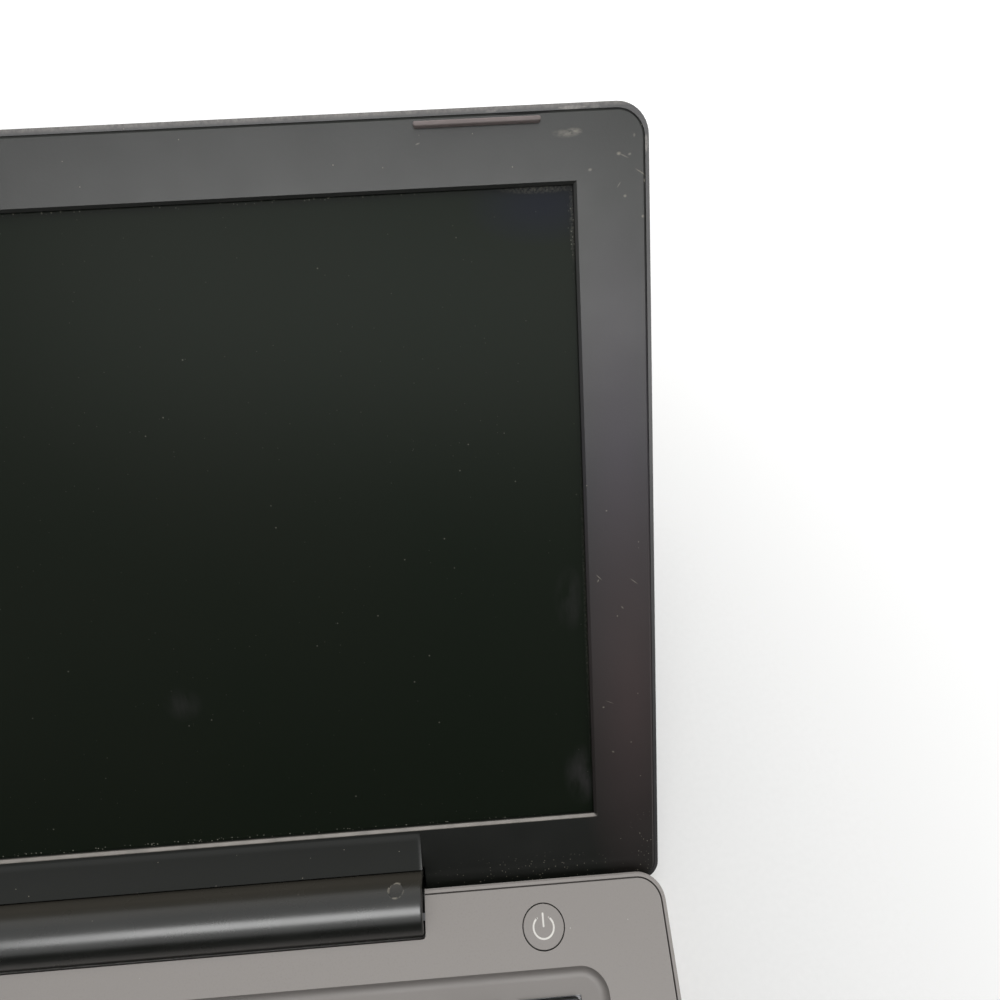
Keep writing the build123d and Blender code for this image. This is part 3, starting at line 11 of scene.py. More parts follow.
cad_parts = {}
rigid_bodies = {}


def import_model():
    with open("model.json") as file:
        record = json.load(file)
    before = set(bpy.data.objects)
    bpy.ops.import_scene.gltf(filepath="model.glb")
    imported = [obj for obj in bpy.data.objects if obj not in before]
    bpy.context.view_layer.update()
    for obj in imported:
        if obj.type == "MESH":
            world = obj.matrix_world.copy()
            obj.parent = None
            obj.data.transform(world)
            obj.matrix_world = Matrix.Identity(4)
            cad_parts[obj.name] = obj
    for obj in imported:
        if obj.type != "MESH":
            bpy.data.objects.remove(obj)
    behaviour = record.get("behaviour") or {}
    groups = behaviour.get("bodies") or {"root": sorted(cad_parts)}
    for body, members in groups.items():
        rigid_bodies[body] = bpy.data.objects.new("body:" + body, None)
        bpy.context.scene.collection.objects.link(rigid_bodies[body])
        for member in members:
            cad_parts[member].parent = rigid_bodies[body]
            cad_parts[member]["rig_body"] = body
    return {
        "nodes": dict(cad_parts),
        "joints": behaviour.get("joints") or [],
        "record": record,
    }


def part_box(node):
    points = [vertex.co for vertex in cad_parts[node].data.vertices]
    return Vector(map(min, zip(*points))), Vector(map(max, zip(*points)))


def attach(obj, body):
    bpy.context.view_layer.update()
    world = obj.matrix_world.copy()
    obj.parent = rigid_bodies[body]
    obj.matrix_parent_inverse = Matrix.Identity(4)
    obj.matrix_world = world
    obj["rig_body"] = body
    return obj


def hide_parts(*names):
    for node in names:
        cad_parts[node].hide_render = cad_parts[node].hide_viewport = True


bl_info = {
    "name": "Laptop looks",
    "version": (1, 0, 0),
    "blender": (4, 5, 0),
    "location": "3D View > Sidebar > Laptop",
    "description": "Finishes, keycaps, small hardware and studio for a clamshell laptop",
    "category": "Object",
}

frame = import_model()
bpy.context.view_layer.update()

MM = 0.001
NODES = frame["nodes"]
LID_HINGE = next(joint for joint in frame["joints"] if joint["name"] == "lid_hinge")
LID_ANGLE = radians(LID_HINGE["range_deg"][1])  # from shut to the shown place
AXIS = Vector(LID_HINGE["pos_m"])
LID_TURN = Matrix.Rotation(pi - LID_ANGLE, 4, "X")
LID_PLACE = Matrix.Translation(AXIS) @ LID_TURN  # X along the hinge, Y up the lid, Z out of the screen
DECK_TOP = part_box("deck_cover")[1].z
PANEL_DEEP = 1.3 * MM  # from the bezel's face down to the panel's
OPENING_FOOT = 17.2  # the opening's lower edge above the hinge axis, up the lid, in millimetres
OPENING_SIDE = 129.0  # the opening's side edges from the middle, in millimetres
RIM_UP = 177.4  # the lid's upper rim, up the lid, in millimetres
RAMP_UP, RAMP_HALF = 9.0, 8.0  # the bezel's ramp: its middle up the lid and half its height, in millimetres
PLUG_LEAN = radians(22)  # of the barrel's screw plugs, behind upright
PLUG_INSET = 1.7 * MM  # a plug's middle from the outer end of the node
PLUG_OUT = 7.3 * MM  # a plug's face from the hinge axis
FAR = 400  # a half size that leaves a mask open in its direction, in millimetres
CRISP = 0.02  # softness of a mask with a sharp edge


def linear(code):
    """Linear red, green and blue of an sRGB hex colour."""
    parts = [int(code[i : i + 2], 16) / 255 for i in (1, 3, 5)]
    return [c / 12.92 if c <= 0.04045 else ((c + 0.055) / 1.055) ** 2.4 for c in parts]


def low_and_high(points):
    """The low and high corners of some points."""
    return Vector(map(min, zip(*points))), Vector(map(max, zip(*points)))


def middle_of(low, high, z):
    """The middle of a box seen from above, at a height."""
    return Vector(((low.x + high.x) / 2, (low.y + high.y) / 2, z))


def in_lid(node):
    """The points of one of the lid's nodes, along the hinge, up the lid and out of the screen."""
    to_lid = LID_PLACE.inverted()
    return [to_lid @ v.co for v in NODES[node].data.vertices]


BEZEL_FACE = max(point.z for point in in_lid("display_panel")) + PANEL_DEEP


def lid_spot(across, up, turn_deg=0.0):
    """A place on the bezel's face, in millimetres along the hinge and up the lid, turned in its plane."""
    spot = Matrix.Translation((across * MM, up * MM, BEZEL_FACE))
    return LID_PLACE @ spot @ Matrix.Rotation(radians(turn_deg), 4, "Z")


def plug_spot(side):
    """The place of a barrel plug, with Z out of it."""
    across = side * (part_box("hinge_cover_plugs")[1].x - PLUG_INSET)
    lean = Matrix.Rotation(-PLUG_LEAN, 4, "X")
    return Matrix.Translation((across, *AXIS.yz)) @ lean @ Matrix.Translation((0, 0, PLUG_OUT))


def half_sizes(node):
    """Half the width and half the depth of a node, in millimetres."""
    low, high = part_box(node)
    return (high.x - low.x) / 2 / MM, (high.y - low.y) / 2 / MM


# Settings that a user would change


def colour_setting(name, description, code):
    """A colour that a user can set, from an sRGB hex value."""
    return FloatVectorProperty(
        name=name, description=description, subtype="COLOR", size=3, min=0, max=1, default=linear(code)
    )


def length_setting(name, description, size_mm):
    """A length that a user can set, from a size in millimetres."""
    return FloatProperty(
        name=name, description=description, subtype="DISTANCE", unit="LENGTH", default=size_mm * MM
    )


class LaptopFinishSettings(PropertyGroup):
    """Colours and surface grain of the mouldings."""

    case_colour: colour_setting("Case", "Warm grey of the base, deck and power button", "#948F8B")
    lid_colour: colour_setting("Lid back", "Near-black of the lid's back cover and rim", "#2B2A2B")
    bezel_colour: colour_setting("Bezel", "Near-black of the bezel", "#141613")
    key_colour: colour_setting("Keys", "Black of the keycaps", "#161617")
    legend_colour: colour_setting("Legends", "Ink of the key legends and the power symbol", "#E9E6E0")
    grain: length_setting("Case grain", "Size of the moulded texture's grain", 0.45)
    bezel_roughness: FloatProperty(
        name="Bezel roughness", description="How widely the satin bezel spreads a reflection",
        subtype="FACTOR", min=0, max=1, default=0.36,
    )


class LaptopPieceSettings(PropertyGroup):
    """Sizes of the modelled keycaps and of what is printed on them."""

    key_corner: length_setting("Keycap corner", "Radius of a keycap's corners seen from above", 1.2)
    key_edge: length_setting("Keycap edge", "Rounding of a keycap's upper edge", 0.35)
    letter_size: length_setting("Letter size", "Height of the letters on the keys", 3.6)
    symbol_radius: length_setting("Symbol radius", "Outer radius of the power symbol's ring", 2.62)
    symbol_line: length_setting("Symbol line", "Width of the power symbol's line", 0.42)


class LaptopStudioSettings(PropertyGroup):
    """Strength of the studio's lights."""

    key_power: FloatProperty(
        name="Key light", description="Power of the large soft light above and behind",
        unit="POWER", default=15.5,
    )
    band_power: FloatProperty(
        name="Band light", description="Power of the band ahead that shows in the barrel and the bezel",
        unit="POWER", default=15.0,
    )
    ambient: FloatProperty(
        name="Ambient", description="Light of the surroundings on matt surfaces",
        min=0, max=1, default=0.25,
    )


# Materials


def feed(node, inputs):
    """Sets a node's inputs, each to a value or from another node's output."""
    for name, value in inputs.items():
        socket = node.inputs[name]
        if isinstance(value, bpy.types.NodeSocket):
            node.id_data.links.new(value, socket)
        else:
            socket.default_value = [*value, 1] if socket.type == "RGBA" else value


def add_node(tree, kind, inputs=None, output=0, **settings):
    """Adds a node with its settings and inputs, and gives one of its outputs."""
    node = tree.nodes.new(kind)
    for name, value in settings.items():
        setattr(node, name, value)
    feed(node, inputs or {})
    return node.outputs[output]


def new_material(name, colour, roughness, inputs=None):
    """A Principled material with plain values, its shader and its coordinates for patterns."""
    material = bpy.data.materials.new(name)
    material.use_nodes = True
    shader = material.node_tree.nodes["Principled BSDF"]
    feed(shader, {"Base Color": colour, "Roughness": roughness, **(inputs or {})})
    return material, shader, add_node(material.node_tree, "ShaderNodeTexCoord", output="Object")


def cut_at(pattern, *levels):
    """Masks cut from a pattern, each between the two levels of a pair."""
    return [
        add_node(pattern.id_data, "ShaderNodeMapRange", {"Value": pattern, "From Min": low, "From Max": high})
        for low, high in levels
    ]


def cloudy(place, size_mm, detail=2.0, stretch=None, cut=None):
    """A cloudy pattern with features of this size, drawn out by a stretch and cut to a mask at two levels."""
    tree = place.id_data
    if stretch:
        place = add_node(tree, "ShaderNodeMapping", {"Vector": place, "Scale": stretch})
    inputs = {"Vector": place, "Scale": 1 / (size_mm * MM), "Detail": detail, "Roughness": 0.55}
    cloud = add_node(tree, "ShaderNodeTexNoise", inputs)
    return cut_at(cloud, cut)[0] if cut else cloud


def overlap(mask, *others):
    """The product of masks and strengths: what lies in every one of them."""
    for other in others:
        mask = add_node(mask.id_data, "ShaderNodeMath", {0: mask, 1: other}, operation="MULTIPLY")
    return mask


def laid_over(mask, *others):
    """The largest of several masks at each point: what lies in any of them."""
    for other in others:
        mask = add_node(mask.id_data, "ShaderNodeMath", {0: mask, 1: other}, operation="MAXIMUM")
    return mask


def dust(place, spacing_mm, radius_mm, keep):
    """A mask of small specks: this far apart, this large, and this share of them kept."""
    tree = place.id_data
    inputs = {"Vector": place, "Scale": 1 / (spacing_mm * MM), "Randomness": 1.0}
    cells = add_node(tree, "ShaderNodeTexVoronoi", inputs).node.outputs
    pick = add_node(tree, "ShaderNodeSeparateColor", {"Color": cells["Color"]})
    size = radius_mm / spacing_mm
    return overlap(*cut_at(cells["Distance"], (size, size / 2)), *cut_at(pick, (1 - keep, 1 - keep + 0.01)))


def reach(place, spot, half_wide, half_high, half_deep=4):
    """How far a point is from a place, as a share of the half sizes of an ellipsoid there, in millimetres."""
    inputs = {
        "Vector": place, "Location": spot.to_translation(), "Rotation": spot.to_euler("XYZ"),
        "Scale": (half_wide * MM, half_high * MM, half_deep * MM),
    }
    inside = add_node(place.id_data, "ShaderNodeMapping", inputs, vector_type="TEXTURE")
    return add_node(place.id_data, "ShaderNodeVectorMath", {0: inside}, "Value", operation="LENGTH")


def patch(place, spot, half_wide, half_high, soft=0.6, half_deep=4):
    """A soft elliptical mask at a place."""
    return cut_at(reach(place, spot, half_wide, half_high, half_deep), (1.0, 1.0 - soft))[0]


def rectangle(place, spot, half_wide, half_high):
    """A mask with sharp edges at a place, open in depth."""
    across = patch(place, spot, half_wide, FAR, CRISP, FAR)
    return overlap(across, patch(place, spot, FAR, half_high, CRISP, FAR))


def lid_marks(place, rows):
    """Soft oval marks on the lid, from a table of them."""
    return laid_over(*(
        overlap(patch(place, lid_spot(across, up, turn), half_long, half_wide, soft), strength)
        for across, up, turn, half_long, half_wide, soft, strength in rows
    ))


def coats(colour, *layers):
    """A colour with others laid over it in turn, each by its mask."""
    for mask, over in layers:
        colour = add_node(mask.id_data, "ShaderNodeMix", {0: mask, 6: colour, 7: over}, 2, data_type="RGBA")
    return colour


CLOUD_LOW, CLOUD_HIGH = 0.3, 0.7  # most of a cloudy pattern lies between these


def sheen(pattern, smooth, dull):
    """Roughness that follows a cloudy pattern, from smooth to dull."""
    inputs = {
        "Value": pattern, "From Min": CLOUD_LOW, "From Max": CLOUD_HIGH, "To Min": smooth, "To Max": dull,
    }
    return add_node(pattern.id_data, "ShaderNodeMapRange", inputs)


def add_bump(shader, height, depth_mm):
    """Raises the surface by a height pattern, over any bump that it has."""
    inputs = {"Height": height, "Distance": depth_mm * MM}
    if shader.inputs["Normal"].links:
        inputs["Normal"] = shader.inputs["Normal"].links[0].from_socket
    feed(shader, {"Normal": add_node(shader.id_data, "ShaderNodeBump", inputs)})


def shade(colour, factor):
    """A colour made lighter or darker by a factor."""
    return [c * factor for c in colour]


def textured_abs(name, colour, grain_mm, roughness, dust_colour, mottle=0.07):
    """ABS moulded in a spark-eroded tool: matt, finely pitted, and slightly mottled where hands rub it."""
    material, shader, place = new_material(name, colour, roughness)
    cloud = cloudy(place, 30, 4)
    worn = coats(shade(colour, 1 - mottle), (cloud, shade(colour, 1 + mottle)))
    pits = cloudy(place, grain_mm, 3)
    pitted = coats(shade(colour, 0.95), *((mask, worn) for mask in cut_at(pits, (0.35, 0.6), (0.3, 0.5))))
    specks = dust(place, 4.2, 0.22, 0.5)
    tone = coats(pitted, (overlap(specks, 0.55), dust_colour))
    feed(shader, {"Base Color": tone, "Roughness": sheen(cloud, roughness - 0.06, roughness + 0.06)})
    add_bump(shader, pits, 0.02)
    add_bump(shader, specks, 0.05)
    return material, shader, place, tone


RECESS_FLOOR = 1.6 * MM  # the middle of the recess's darkening below the deck
RECESS_BEYOND_PLATE = 4  # from the keyboard plate's edges to the recess's, in millimetres


def handled_case_abs(name, colour, grain_mm):
    """Warm grey textured ABS of the base, made darker down in the keyboard's recess."""
    material, shader, place, tone = textured_abs(name, colour, grain_mm, 0.55, linear("#D8D4CE"))
    middle = Matrix.Translation(middle_of(*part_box("keyboard_plate"), DECK_TOP - RECESS_FLOOR))
    wide, deep = (half + RECESS_BEYOND_PLATE for half in half_sizes("keyboard_plate"))
    # The keyboard's recess is made darker, down to its floor
    hollow = overlap(rectangle(place, middle, wide, deep), patch(place, middle, FAR, FAR, 0.6, 1.5))
    feed(shader, {"Base Color": coats(tone, (hollow, shade(colour, 0.78)))})
    return material


# Marks on the lid, as the photograph shows them. Each row has a mark's place along the hinge and up the lid,
# its turn in degrees, half length, half width, softness and strength, with the lengths in millimetres.
SMEAR = ((128.5, 171.8, 3, 2.2, 0.9, 0.95, 1), (126.9, 171.6, -4, 2.8, 0.9, 0.95, 0.6))
SCRATCHES = (
    (137.7, 167.4, 0, 0.55, 0.42, 0.8, 0.9), (138.7, 166.95, -26, 1.3, 0.16, 0.8, 0.6),
    (139.9, 167.2, 20, 0.45, 0.3, 0.8, 0.6), (142.1, 163.7, -33, 1.5, 0.16, 0.8, 0.9),
    (142.9, 162.1, 0, 0.35, 0.4, 0.8, 0.8), (140.9, 170.7, 0, 0.3, 0.45, 0.8, 0.5),
    (137.6, 161.5, 55, 0.8, 0.14, 0.8, 0.5), (131.8, 164.6, 10, 0.5, 0.35, 0.8, 0.6),
    (138.8, 159.3, 0, 0.4, 0.35, 0.8, 0.8), (142.4, 155.2, 0, 0.35, 0.35, 0.8, 0.9),
    (131.2, 78.2, -48, 1.1, 0.13, 0.8, 0.8), (131, 77.4, 60, 0.5, 0.2, 0.8, 0.7),
    (139.2, 76.7, -40, 1.3, 0.13, 0.8, 0.7), (136.4, 70.6, -50, 0.5, 0.22, 0.8, 0.6),
    (135.2, 68.6, 0, 0.2, 0.2, 0.8, 0.9), (131.4, 46, 0, 0.3, 0.25, 0.8, 0.8),
    (132.9, 47.2, -25, 1.2, 0.11, 0.8, 0.5), (133.4, 34.2, -30, 0.4, 0.25, 0.8, 0.7),
    (137.8, 36.4, 0, 0.25, 0.2, 0.8, 0.7), (133.3, 93.6, 0, 0.25, 0.2, 0.8, 0.7),
    (97.5, 171, 20, 0.6, 0.2, 0.8, 0.5),
)
GRIT = ((112, 2.5, 0, 30, 6.5, 0.6, 1), (141, 5, 0, 6, 14, 0.6, 1))
SEAM_DIRT = (
    (118.8, 175.8, 0, 6.4, 0.45, 0.2, 1), (137, 175.9, 0, 2.4, 0.3, 0.3, 1),
    (141.2, 174.4, -45, 1.6, 0.3, 0.3, 1),
)
# Pale patches on the lid's rim: partly wear, partly painted highlight
RIM_WEAR_AND_HIGHLIGHT = (
    (128.6, 176.5, 0, 3.4, 0.42, 0.35, 1), (133.3, 176.5, 0, 1.4, 0.5, 0.5, 0.6),
    (143.4, 169.2, 0, 0.45, 1.9, 0.4, 1), (112.5, 176.5, 0, 1.5, 0.3, 0.5, 0.6),
    (117.5, 176.8, 0, 1.3, 0.3, 0.5, 0.6),
)
GREASE = ((124.6, 73, 0, 4, 9, 0.95, 0.7), (126, 28, 0, 5, 9, 0.95, 1), (34, 54, 30, 5, 5, 0.95, 0.6))
CRUMBS = (
    (0, 17.9, 0, 135, 0.8, 0.3, 1), (128.2, 154, 0, 1.3, 12, 0.6, 1),
    (121.5, 162, 0, 9, 1, 0.4, 1), (50, 162.1, 0, 60, 0.7, 0.3, 1),
)
FLUFF = (
    (122, 161.9, 0, 10, 1.3, 0.7, 1), (128.2, 155, 0, 0.9, 10, 0.9, 0.75),
    (128.3, 70, 0, 0.8, 50, 0.9, 0.4),
)


def satin_abs(name, settings):
    """ABS with a satin skin: dark, with a soft sheen, and it shows every scuff, speck and greasy wipe."""
    colour = list(settings.bezel_colour)
    roughness = settings.bezel_roughness
    material, shader, place = new_material(name, colour, roughness, {"IOR": 1.37})
    tree = material.node_tree
    # Painted reflection: the right side gets a violet cast, and a brown one lower down
    violet = patch(place, lid_spot(137, 100), 13, 60, 0.9)
    brown = patch(place, lid_spot(138, 50), 15, 58, 0.9)
    # Pale rubbed paint near the upper right corner
    chalky = cloudy(place, 0.5, 5, (0.45, 1.0, 1.0), (0.3, 0.62))
    rub = overlap(lid_marks(place, SMEAR), chalky, 0.62)
    specks = overlap(dust(place, 2.6, 0.15, 0.4), 0.6)
    grit = overlap(dust(place, 0.8, 0.14, 0.7), lid_marks(place, GRIT), 0.7)
    marks = laid_over(specks, grit, rub, overlap(lid_marks(place, SCRATCHES), 0.65))
    # The joint with the rim has opened and filled with dirt along part of the upper edge
    dirt = lid_marks(place, SEAM_DIRT)
    # Painted highlight: the lower edge of the screen's opening is made pale
    uneven = {"Value": cloudy(place, 7, 3), "From Min": 0.25, "From Max": 0.6, "To Min": 0.5, "To Max": 0.85}
    edge = overlap(
        patch(place, lid_spot(0, OPENING_FOOT + 0.25), FAR, 0.5, 0.3, 1.2),
        patch(place, lid_spot(0, OPENING_FOOT), OPENING_SIDE + 0.3, FAR, 0.01, FAR),
        add_node(tree, "ShaderNodeMapRange", uneven),
    )
    tone = coats(
        shade(colour, 0.9), (cloudy(place, 45, 3), shade(colour, 1.15)),
        (violet, linear("#28222B")), (brown, linear("#3B3030")),
        # The last colour is the painted highlight along the opening's lower edge
        (marks, linear("#A8A294")), (dirt, linear("#0C0C0C")), (edge, linear("#9A948D")),
    )
    # The ramp down to the barrel has a duller skin
    ramp = overlap(
        patch(place, lid_spot(0, RAMP_UP), half_sizes("hinge_cover")[0], FAR, 0.01, FAR),
        patch(place, lid_spot(0, RAMP_UP), FAR, RAMP_HALF, 0.3, FAR),
    )
    wiped = sheen(cloudy(place, 18, 4), roughness - 0.02, roughness + 0.03)
    skin = add_node(tree, "ShaderNodeMix", {0: ramp, 2: wiped, 3: 0.84})
    feed(shader, {"Base Color": tone, "Roughness": laid_over(skin, marks, dirt)})
    add_bump(shader, cloudy(place, 0.5, 2), 0.012)
    add_bump(shader, marks, 0.02)
    return material


BARREL_TOP_LIGHT = Vector((0, 5.8 * MM, 5.2 * MM))  # from the hinge axis to the painted light along the barrel's top
PLUG_RIM = 1.75  # radius of a plug's scuffed rim, in millimetres


def polished_barrel_abs(name):
    """The hinge barrel's ABS: smoother than the bezel's, so that it carries one clear band of light."""
    material, shader, place = new_material(name, linear("#141613"), 0.27, {"IOR": 1.58})
    wiped = cloudy(place, 16, 4)
    # Painted light: the barrel's top is made lighter along its length, next to the bezel's ramp
    painted_top_light = overlap(patch(place, Matrix.Translation(AXIS + BARREL_TOP_LIGHT), FAR, 5.5, 0.8, 4.5), 0.9)
    marks = overlap(dust(place, 2.6, 0.14, 0.35), 0.35)
    for side in (-1, 1):
        rim = reach(place, plug_spot(side), PLUG_RIM, PLUG_RIM)
        broken = cloudy(place, 1.3, 2, cut=(0.42, 0.55))
        marks = laid_over(marks, overlap(*cut_at(rim, (0.84, 0.93), (1.14, 1.05)), broken, 0.5))
    tone = coats(
        linear("#10120F"), (wiped, linear("#191A17")),
        (painted_top_light, linear("#403D37")), (marks, linear("#A8A294")),
    )
    feed(shader, {"Base Color": tone, "Roughness": laid_over(sheen(wiped, 0.25, 0.3), overlap(marks, 0.8))})
    add_bump(shader, cloudy(place, 3, 1), 0.002)
    return material


def black_abs_worn_and_highlit(name, colour):
    """Black textured ABS of the lid's back: a painted highlight makes its upper rim pale, and its edge is
    rubbed pale in places, mostly near the corner.
    """
    material, shader, place, tone = textured_abs(name, colour, 0.5, 0.45, linear("#8F8B86"), 0.12)
    # Painted highlight along the whole upper rim, laid with the patches of wear and highlight
    painted_rim_highlight = overlap(patch(place, lid_spot(0, RIM_UP), FAR, 1.1, 0.6, 6), 0.75)
    rubbed = laid_over(lid_marks(place, RIM_WEAR_AND_HIGHLIGHT), painted_rim_highlight)
    worn = overlap(rubbed, cloudy(place, 0.8, 3, cut=(0.15, 0.7)), 0.72)
    feed(shader, {"Base Color": coats(tone, (worn, linear("#9C9791")))})
    return material


def switched_off_screen(name):
    """Anti-glare polariser over a switched-off panel: near-black, greenish, dusty, and greasy at its edge."""
    material, shader, place = new_material(name, linear("#161B15"), 0.33, {"IOR": 1.12})
    grease = overlap(lid_marks(place, GREASE), cloudy(place, 5, 4, (1.6, 0.5, 0.5), (0.35, 0.7)))
    specks = overlap(dust(place, 5.2, 0.2, 0.6), 0.5)
    fine = overlap(dust(place, 1.7, 0.13, 0.35), 0.2)
    crumbs = overlap(dust(place, 0.7, 0.19, 0.85), lid_marks(place, CRUMBS))
    # Fluff has gathered along the opening's edges near the upper right corner
    fluff = overlap(lid_marks(place, FLUFF), cloudy(place, 0.45, 4, cut=(0.38, 0.68)), 0.8)
    marks = laid_over(specks, fine, crumbs, fluff)
    tone = coats(
        linear("#141D14"), (cloudy(place, 70, 2), linear("#1D211A")),
        # Painted reflection: a bluish patch near the opening's upper right corner
        (patch(place, lid_spot(122, 159), 17, 9, 0.95), linear("#1A1D2B")),
        (overlap(grease, 0.8), linear("#494648")), (overlap(marks, 0.7), linear("#A8A79A")),
    )
    greasy = {"Value": grease, "To Min": 0.33, "To Max": 0.5}
    dull = laid_over(add_node(material.node_tree, "ShaderNodeMapRange", greasy), overlap(marks, 0.8))
    feed(shader, {"Base Color": tone, "Roughness": dull})
    add_bump(shader, cloudy(place, 0.25, 1), 0.004)
    return material


def satin_keycap(name, colour):
    """ABS keycaps: smoother and shinier where fingers land, with a fine even grain."""
    material, shader, place = new_material(name, colour, 0.42)
    rubbed = cloudy(place, 12, 3)
    specks = overlap(dust(place, 3.6, 0.16, 0.4), 0.5)
    tone = coats(shade(colour, 0.85), (rubbed, shade(colour, 1.2)), (specks, linear("#8F8C86")))
    feed(shader, {"Base Color": tone, "Roughness": sheen(rubbed, 0.36, 0.5)})
    add_bump(shader, cloudy(place, 0.3, 2), 0.01)
    return material


def touch_film(name, colour):
    """Silk-matt film on the touchpad: finer than the case, with a faint polish in the middle from use."""
    material, shader, place = new_material(name, colour, 0.5)
    wiped = cloudy(place, 22, 3, (1.0, 0.7, 1.0))
    tone = coats(shade(colour, 0.95), (wiped, shade(colour, 1.05)))
    feed(shader, {"Base Color": tone, "Roughness": sheen(wiped, 0.4, 0.54)})
    add_bump(shader, cloudy(place, 0.2, 1), 0.006)
    return material


def moulded_rubber(name, colour):
    """Moulded rubber: dull, slightly brown with age, with a fine pebbled skin and dust in it."""
    material, shader, place = new_material(name, colour, 0.7)
    specks = overlap(dust(place, 1.6, 0.12, 0.5), 0.4)
    aged = (cloudy(place, 6, 3), shade(colour, 1.25))
    feed(shader, {"Base Color": coats(shade(colour, 0.85), aged, (specks, linear("#8C877F")))})
    add_bump(shader, cloudy(place, 0.35, 3), 0.03)
    return material


def rolled_metal(name, colour, roughness, lay_mm=0.35):
    """Rolled sheet metal: fine lines along the rolling direction, and a faint bloom of handling marks."""
    material, shader, place = new_material(name, colour, roughness, {"Metallic": 1.0})
    lay = cloudy(place, lay_mm, 2, (0.03, 1.0, 1.0))
    tone = coats(shade(colour, 0.88), (cloudy(place, 14, 3), shade(colour, 1.08)))
    feed(shader, {"Base Color": tone, "Roughness": sheen(lay, roughness - 0.07, roughness + 0.08)})
    add_bump(shader, lay, 0.01)
    return material


BOARD_SCALE = 0.9 / MM  # the tracks' rows are a quarter of a unit apart, which is 0.28 mm


def solder_masked_board(name, colour):
    """Glass-fibre laminate under green solder mask: tracks stand up slightly below a glossy coat."""
    material, shader, place = new_material(name, colour, 0.3)
    tree = material.node_tree
    board = add_node(tree, "ShaderNodeMapping", {"Vector": place, "Scale": [BOARD_SCALE] * 3})
    tracks = add_node(tree, "ShaderNodeTexBrick", {"Vector": board, "Scale": 1.0, "Mortar Size": 0.08}, "Fac")
    feed(shader, {"Base Color": coats(colour, (tracks, shade(colour, 1.7)))})
    add_bump(shader, tracks, 0.03)
    return material


def shrink_film(name, colour):
    """Thin black polyester film over the cells: slightly wrinkled, with a soft shine."""
    material, shader, place = new_material(name, colour, 0.35)
    folds = cloudy(place, 7, 4, (1.0, 2.5, 1.0))
    tone = coats(shade(colour, 0.8), (folds, shade(colour, 1.3)))
    feed(shader, {"Base Color": tone, "Roughness": sheen(folds, 0.28, 0.45)})
    add_bump(shader, folds, 0.15)
    return material


def camera_glass(name):
    """Polished dark glass: a deep violet-black with a clean sharp reflection and a little dust."""
    material, shader, place = new_material(name, linear("#0B0B12"), 0.05, {"IOR": 1.5, "Coat Weight": 0.5})
    specks = overlap(dust(place, 0.9, 0.06, 0.5), 0.4)
    feed(shader, {"Base Color": coats(linear("#0B0B12"), (specks, linear("#7C7C80")))})
    return material


def screen_ink(name, colour):
    """Silk-screened ink: flat and even, with pinholes and edges that have begun to wear."""
    material, shader, place = new_material(name, colour, 0.5)
    worn = cloudy(place, 0.4, 3, cut=(0.25, 0.45))
    feed(shader, {"Base Color": coats(shade(colour, 0.8), (worn, colour))})
    add_bump(shader, worn, 0.004)
    return material


def gold_contact(name):
    """Gold-plated spring contacts: bright, with a brushed lay along their length."""
    return rolled_metal(name, linear("#D9B35B"), 0.25, 0.15)


def make_finishes(scene):
    """Every finish of the laptop, by the record's material slot or by its own name."""
    looks = scene.laptop_finish
    case = list(looks.case_colour)
    grain_mm = looks.grain / MM
    return {
        "case_plastic": handled_case_abs("textured_abs_warm_grey", case, grain_mm),
        "lid_plastic": black_abs_worn_and_highlit("black_abs_worn_and_highlit", list(looks.lid_colour)),
        "bezel_plastic": satin_abs("satin_abs_black", looks),
        "barrel": polished_barrel_abs("polished_abs_barrel"),
        "key_plastic": satin_keycap("satin_keycap_black", list(looks.key_colour)),
        "pad_plastic": touch_film("touch_film_grey", shade(case, 0.92)),
        "screen_surface": switched_off_screen("anti_glare_panel_off"),
        "rubber": moulded_rubber("moulded_rubber_black", linear("#2B2827")),
        "bumper_rubber": moulded_rubber("moulded_rubber_brown", linear("#7E7371")),
        "hinge_steel": rolled_metal("pressed_steel", linear("#9A9A9C"), 0.36),
        "plated_steel": rolled_metal("tin_plated_steel", linear("#B4B4B6"), 0.3),
        "screw_steel": rolled_metal("blackened_steel", linear("#3C3C3F"), 0.4, 0.2),
        "spreader_metal": rolled_metal("rolled_aluminium", linear("#C9C9CB"), 0.34),
        "circuit_board": solder_masked_board("solder_masked_board", linear("#1E5B3A")),
        "battery_wrap": shrink_film("black_shrink_film", linear("#1C1C1E")),
        "camera_glass": camera_glass("dark_polished_glass"),
        "legend_ink": screen_ink("screen_printed_ink", list(looks.legend_colour)),
        "gold": gold_contact("gold_plated_contact"),
    }


FINISHES = {}

# Modelling helpers


def select_only(*pieces):
    """Selects these pieces alone and makes the first active."""
    bpy.ops.object.select_all(action="DESELECT")
    for piece in pieces:
        piece.select_set(True)
    bpy.context.view_layer.objects.active = pieces[0]


def start_with(primitive, **settings):
    """Adds a primitive with nothing else selected."""
    bpy.ops.object.select_all(action="DESELECT")
    primitive(**settings)
    return bpy.context.active_object


def settle(piece, place=None):
    """Moves a piece to its place and puts that place in its mesh, so that its object sits at the origin."""
    if place is not None:
        piece.matrix_world = place @ piece.matrix_world
    select_only(piece)
    bpy.ops.object.transform_apply(location=True, rotation=True, scale=True)


def block(size, middle=(0, 0, 0)):
    """A rectangular start for a piece, with its size in its mesh."""
    piece = start_with(bpy.ops.mesh.primitive_cube_add, size=1, location=middle)
    piece.scale = size
    settle(piece)
    return piece


